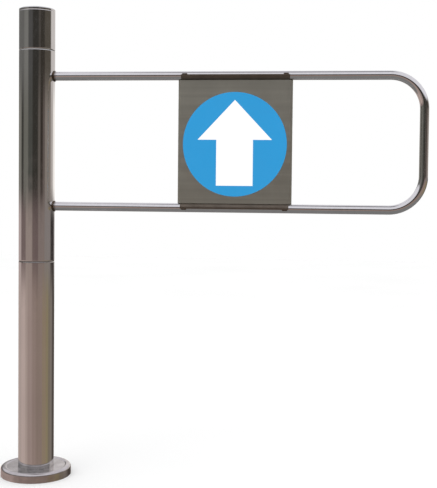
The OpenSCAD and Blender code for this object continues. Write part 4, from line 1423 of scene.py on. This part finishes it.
@dataclass
class Studio:
    """The floor, the light and the camera."""

    lens: float = 68.52
    camera_place: Point = (0.602, -1.944, 0.607)
    yaw: float = 6.122
    pitch: float = 2.204
    roll: float = 0.600
    rise: float = -0.0257
    floor_size: float = 7.0
    gain: float = 1.42
    glow: float = 1.06
    aim: Point = (0.3, 0.0, 0.5)
    upper: Bands = (
        (-180, -165, srgb(200, 196, 194)), (-158, -76, srgb(94, 93, 91)),
        (-70, -44, srgb(108, 107, 104)), (-37, -14, srgb(70, 69, 68)),
        (-8, 24, srgb(47, 45, 42)), (30, 37, srgb(67, 63, 59)), (42, 64, srgb(50, 46, 41)),
        (70, 112, srgb(73, 68, 61)), (120, 180, srgb(184, 179, 177)))
    middle: Bands = (
        (-180, -165, srgb(230, 228, 226)), (-158, -104, srgb(116, 114, 108)),
        (-93, -81, srgb(55, 54, 50)), (-72, -44, srgb(98, 97, 91)),
        (-37, -14, srgb(68, 68, 64)), (-8, 20, srgb(49, 47, 43)), (28, 36, srgb(90, 84, 79)),
        (42, 52, srgb(51, 45, 41)), (58, 66, srgb(89, 80, 76)), (73, 112, srgb(124, 116, 110)),
        (121, 136, srgb(167, 160, 156)), (146, 180, srgb(229, 224, 220)))
    horizon: Bands = (
        (-180, -165, srgb(214, 206, 204)), (-158, -104, srgb(165, 151, 148)),
        (-93, -62, srgb(105, 91, 89)), (-53, -14, srgb(137, 124, 118)),
        (-8, 24, srgb(100, 86, 84)), (30, 66, srgb(119, 107, 103)),
        (70, 112, srgb(121, 114, 112)), (122, 150, srgb(49, 45, 44)),
        (162, 180, srgb(120, 114, 112)))
    lower: Bands = (
        (-180, -162, srgb(150, 142, 136)), (-150, -100, srgb(162, 147, 141)),
        (-90, -62, srgb(172, 155, 149)), (-53, -45, srgb(157, 141, 134)),
        (-36, -14, srgb(145, 128, 122)), (-6, 10, srgb(136, 119, 112)),
        (18, 52, srgb(129, 113, 105)), (58, 78, srgb(130, 115, 98)),
        (86, 94, srgb(128, 117, 93)), (103, 114, srgb(113, 104, 92)),
        (122, 130, srgb(118, 110, 104)), (146, 180, srgb(72, 65, 61)))

    def build(self) -> None:
        """Builds the floor, the light and the camera."""
        self.build_floor()
        self.build_world()
        self.build_lamps()
        self.build_camera()
        bpy.context.scene.view_settings.view_transform = "Standard"
        bpy.context.scene.view_settings.look = "None"

    def build_floor(self) -> None:
        """Lays a plain pale floor, which mirrors don't show."""
        bm = bmesh.new()
        bmesh.ops.create_grid(bm, x_segments=4, y_segments=4, size=self.floor_size)
        mesh = bpy.data.meshes.new("floor")
        bm.to_mesh(mesh)
        bm.free()
        floor = bpy.data.objects.new("floor", mesh)
        bpy.context.scene.collection.objects.link(floor)
        material = bpy.data.materials.new("pale_floor")
        material.use_nodes = True
        graph = Graph(material.node_tree)
        shader = material.node_tree.nodes["Principled BSDF"]
        place = graph.node("ShaderNodeTexCoord").outputs["Object"]
        cloud = graph.noise(place, 1.5, 2.0)
        graph.feed(shader.inputs["Base Color"],
                   graph.mix(graph.spread(cloud, 0.3, 0.7), (0.93, 0.93, 0.93), (0.95, 0.95, 0.95)))
        shader.inputs["Roughness"].default_value = 0.9
        shader.inputs["Specular IOR Level"].default_value = 0.0
        mesh.materials.append(material)
        floor.visible_glossy = False

    def lit(self, colour: Colour) -> Colour:
        """Returns a colour of the room as strong as the steel mirrors it."""
        return colour[0] * self.gain, colour[1] * self.gain, colour[2] * self.gain

    def wall(self, graph: Graph, share: bpy.types.NodeSocket,
             bands: Bands) -> bpy.types.NodeSocket:
        """Paints the room's walls at one height, in bands with soft borders.

        Args:
            graph: The world's graph.
            share: Azimuth, from 0 to 1 for the full turn from behind to behind.
            bands: First and last azimuth in degrees, and the colour between them.

        Returns:
            The walls' colour.
        """
        stops = []
        for first, last, colour in bands:
            stops += [((edge + 180) / 360, self.lit(colour)) for edge in (first, last)]
        return graph.ramp(share, stops)

    def build_world(self) -> None:
        """Builds the room that the steel mirrors, with plain white for the eye."""
        world = bpy.data.worlds.new("studio_room")
        world.use_nodes = True
        bpy.context.scene.world = world
        world.node_tree.nodes.clear()
        graph = Graph(world.node_tree)
        way = graph.node("ShaderNodeSeparateXYZ")
        graph.feed(way.inputs[0], graph.node("ShaderNodeTexCoord").outputs["Generated"])
        across, depth, up = way.outputs
        azimuth = graph.math("ARCTAN2", across, graph.math("MULTIPLY", depth, -1.0))
        share = graph.math("MULTIPLY_ADD", azimuth, 1.0 / math.tau, 0.5)
        room = self.lit(srgb(114, 113, 113))
        layers = ((-32.0, -21.0, self.wall(graph, share, self.lower)),
                  (-6.8, -3.6, self.wall(graph, share, self.horizon)),
                  (-1.6, 0.6, self.wall(graph, share, self.middle)),
                  (4.5, 8.0, self.wall(graph, share, self.upper)),
                  (15.0, 23.0, self.lit(srgb(206, 205, 212))),
                  (72.0, 82.0, self.lit(srgb(96, 95, 98))))
        for start, end, colour in layers:
            low, high = math.sin(math.radians(start)), math.sin(math.radians(end))
            room = graph.mix(graph.spread(up, low, high, smooth=True), room, colour)
        rays = graph.node("ShaderNodeLightPath")
        seen = graph.mix(rays.outputs["Is Glossy Ray"], (self.glow, self.glow, self.glow), room)
        seen = graph.mix(rays.outputs["Is Camera Ray"], seen, (1.0, 1.0, 1.0))
        light = graph.node("ShaderNodeBackground")
        graph.feed(light.inputs["Color"], seen)
        graph.feed(graph.node("ShaderNodeOutputWorld").inputs["Surface"], light.outputs[0])

    def build_lamps(self) -> None:
        """Hangs two large soft lamps, which the steel doesn't mirror."""
        for name, place, size, power in (("key_lamp", (-1.4, -2.2, 2.6), 2.2, 8.0),
                                         ("fill_lamp", (2.4, -1.2, 2.2), 2.4, 4.0)):
            data = bpy.data.lights.new(name, "AREA")
            data.shape = "DISK"
            data.size = size
            data.energy = power
            lamp = bpy.data.objects.new(name, data)
            lamp.location = place
            way = Vector(self.aim) - Vector(place)
            lamp.rotation_euler = way.to_track_quat("-Z", "Y").to_euler()
            lamp.visible_glossy = False
            bpy.context.scene.collection.objects.link(lamp)

    def build_camera(self) -> None:
        """Sets the camera in front of the gate, a little to the right of its middle."""
        yaw, pitch, roll = (math.radians(angle) for angle in (self.yaw, self.pitch, self.roll))
        ahead = Vector((-math.sin(yaw) * math.cos(pitch), math.cos(yaw) * math.cos(pitch),
                        -math.sin(pitch)))
        right = ahead.cross(Vector((0, 0, 1))).normalized()
        up = right.cross(ahead)
        leaned_right = right * math.cos(roll) + up * math.sin(roll)
        leaned_up = up * math.cos(roll) - right * math.sin(roll)
        data = bpy.data.cameras.new("camera")
        data.lens = self.lens
        data.sensor_width = 36.0
        data.shift_y = self.rise
        camera = bpy.data.objects.new("camera", data)
        turn = Matrix((leaned_right, leaned_up, -ahead)).transposed()
        camera.matrix_world = Matrix.Translation(self.camera_place) @ turn.to_4x4()
        bpy.context.scene.collection.objects.link(camera)
        bpy.context.scene.camera = camera


def main() -> None:
    """Builds the studio, then each sub-assembly from the floor up."""
    logging.basicConfig(level=logging.INFO, format="%(name)s: %(message)s")
    Studio().build()
    arm_low, arm_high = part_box("arm_tube")
    radius = (arm_high[1] - arm_low[1]) / 2
    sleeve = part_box("gate_sleeve")[1][0]
    welds = ((sleeve, 0.0, arm_low[2] + radius), (sleeve, 0.0, arm_high[2] - radius))
    workshop = Workshop(welds)
    for kind in (FloorBase, FixedPost, Bearings, SwingGate, ReturnAndStops, CountDrive, PostHead,
                 StrokeCounter):
        LOG.info("-- %s", kind.__name__)
        kind(workshop).build()


if __name__ == "__main__":
    main()
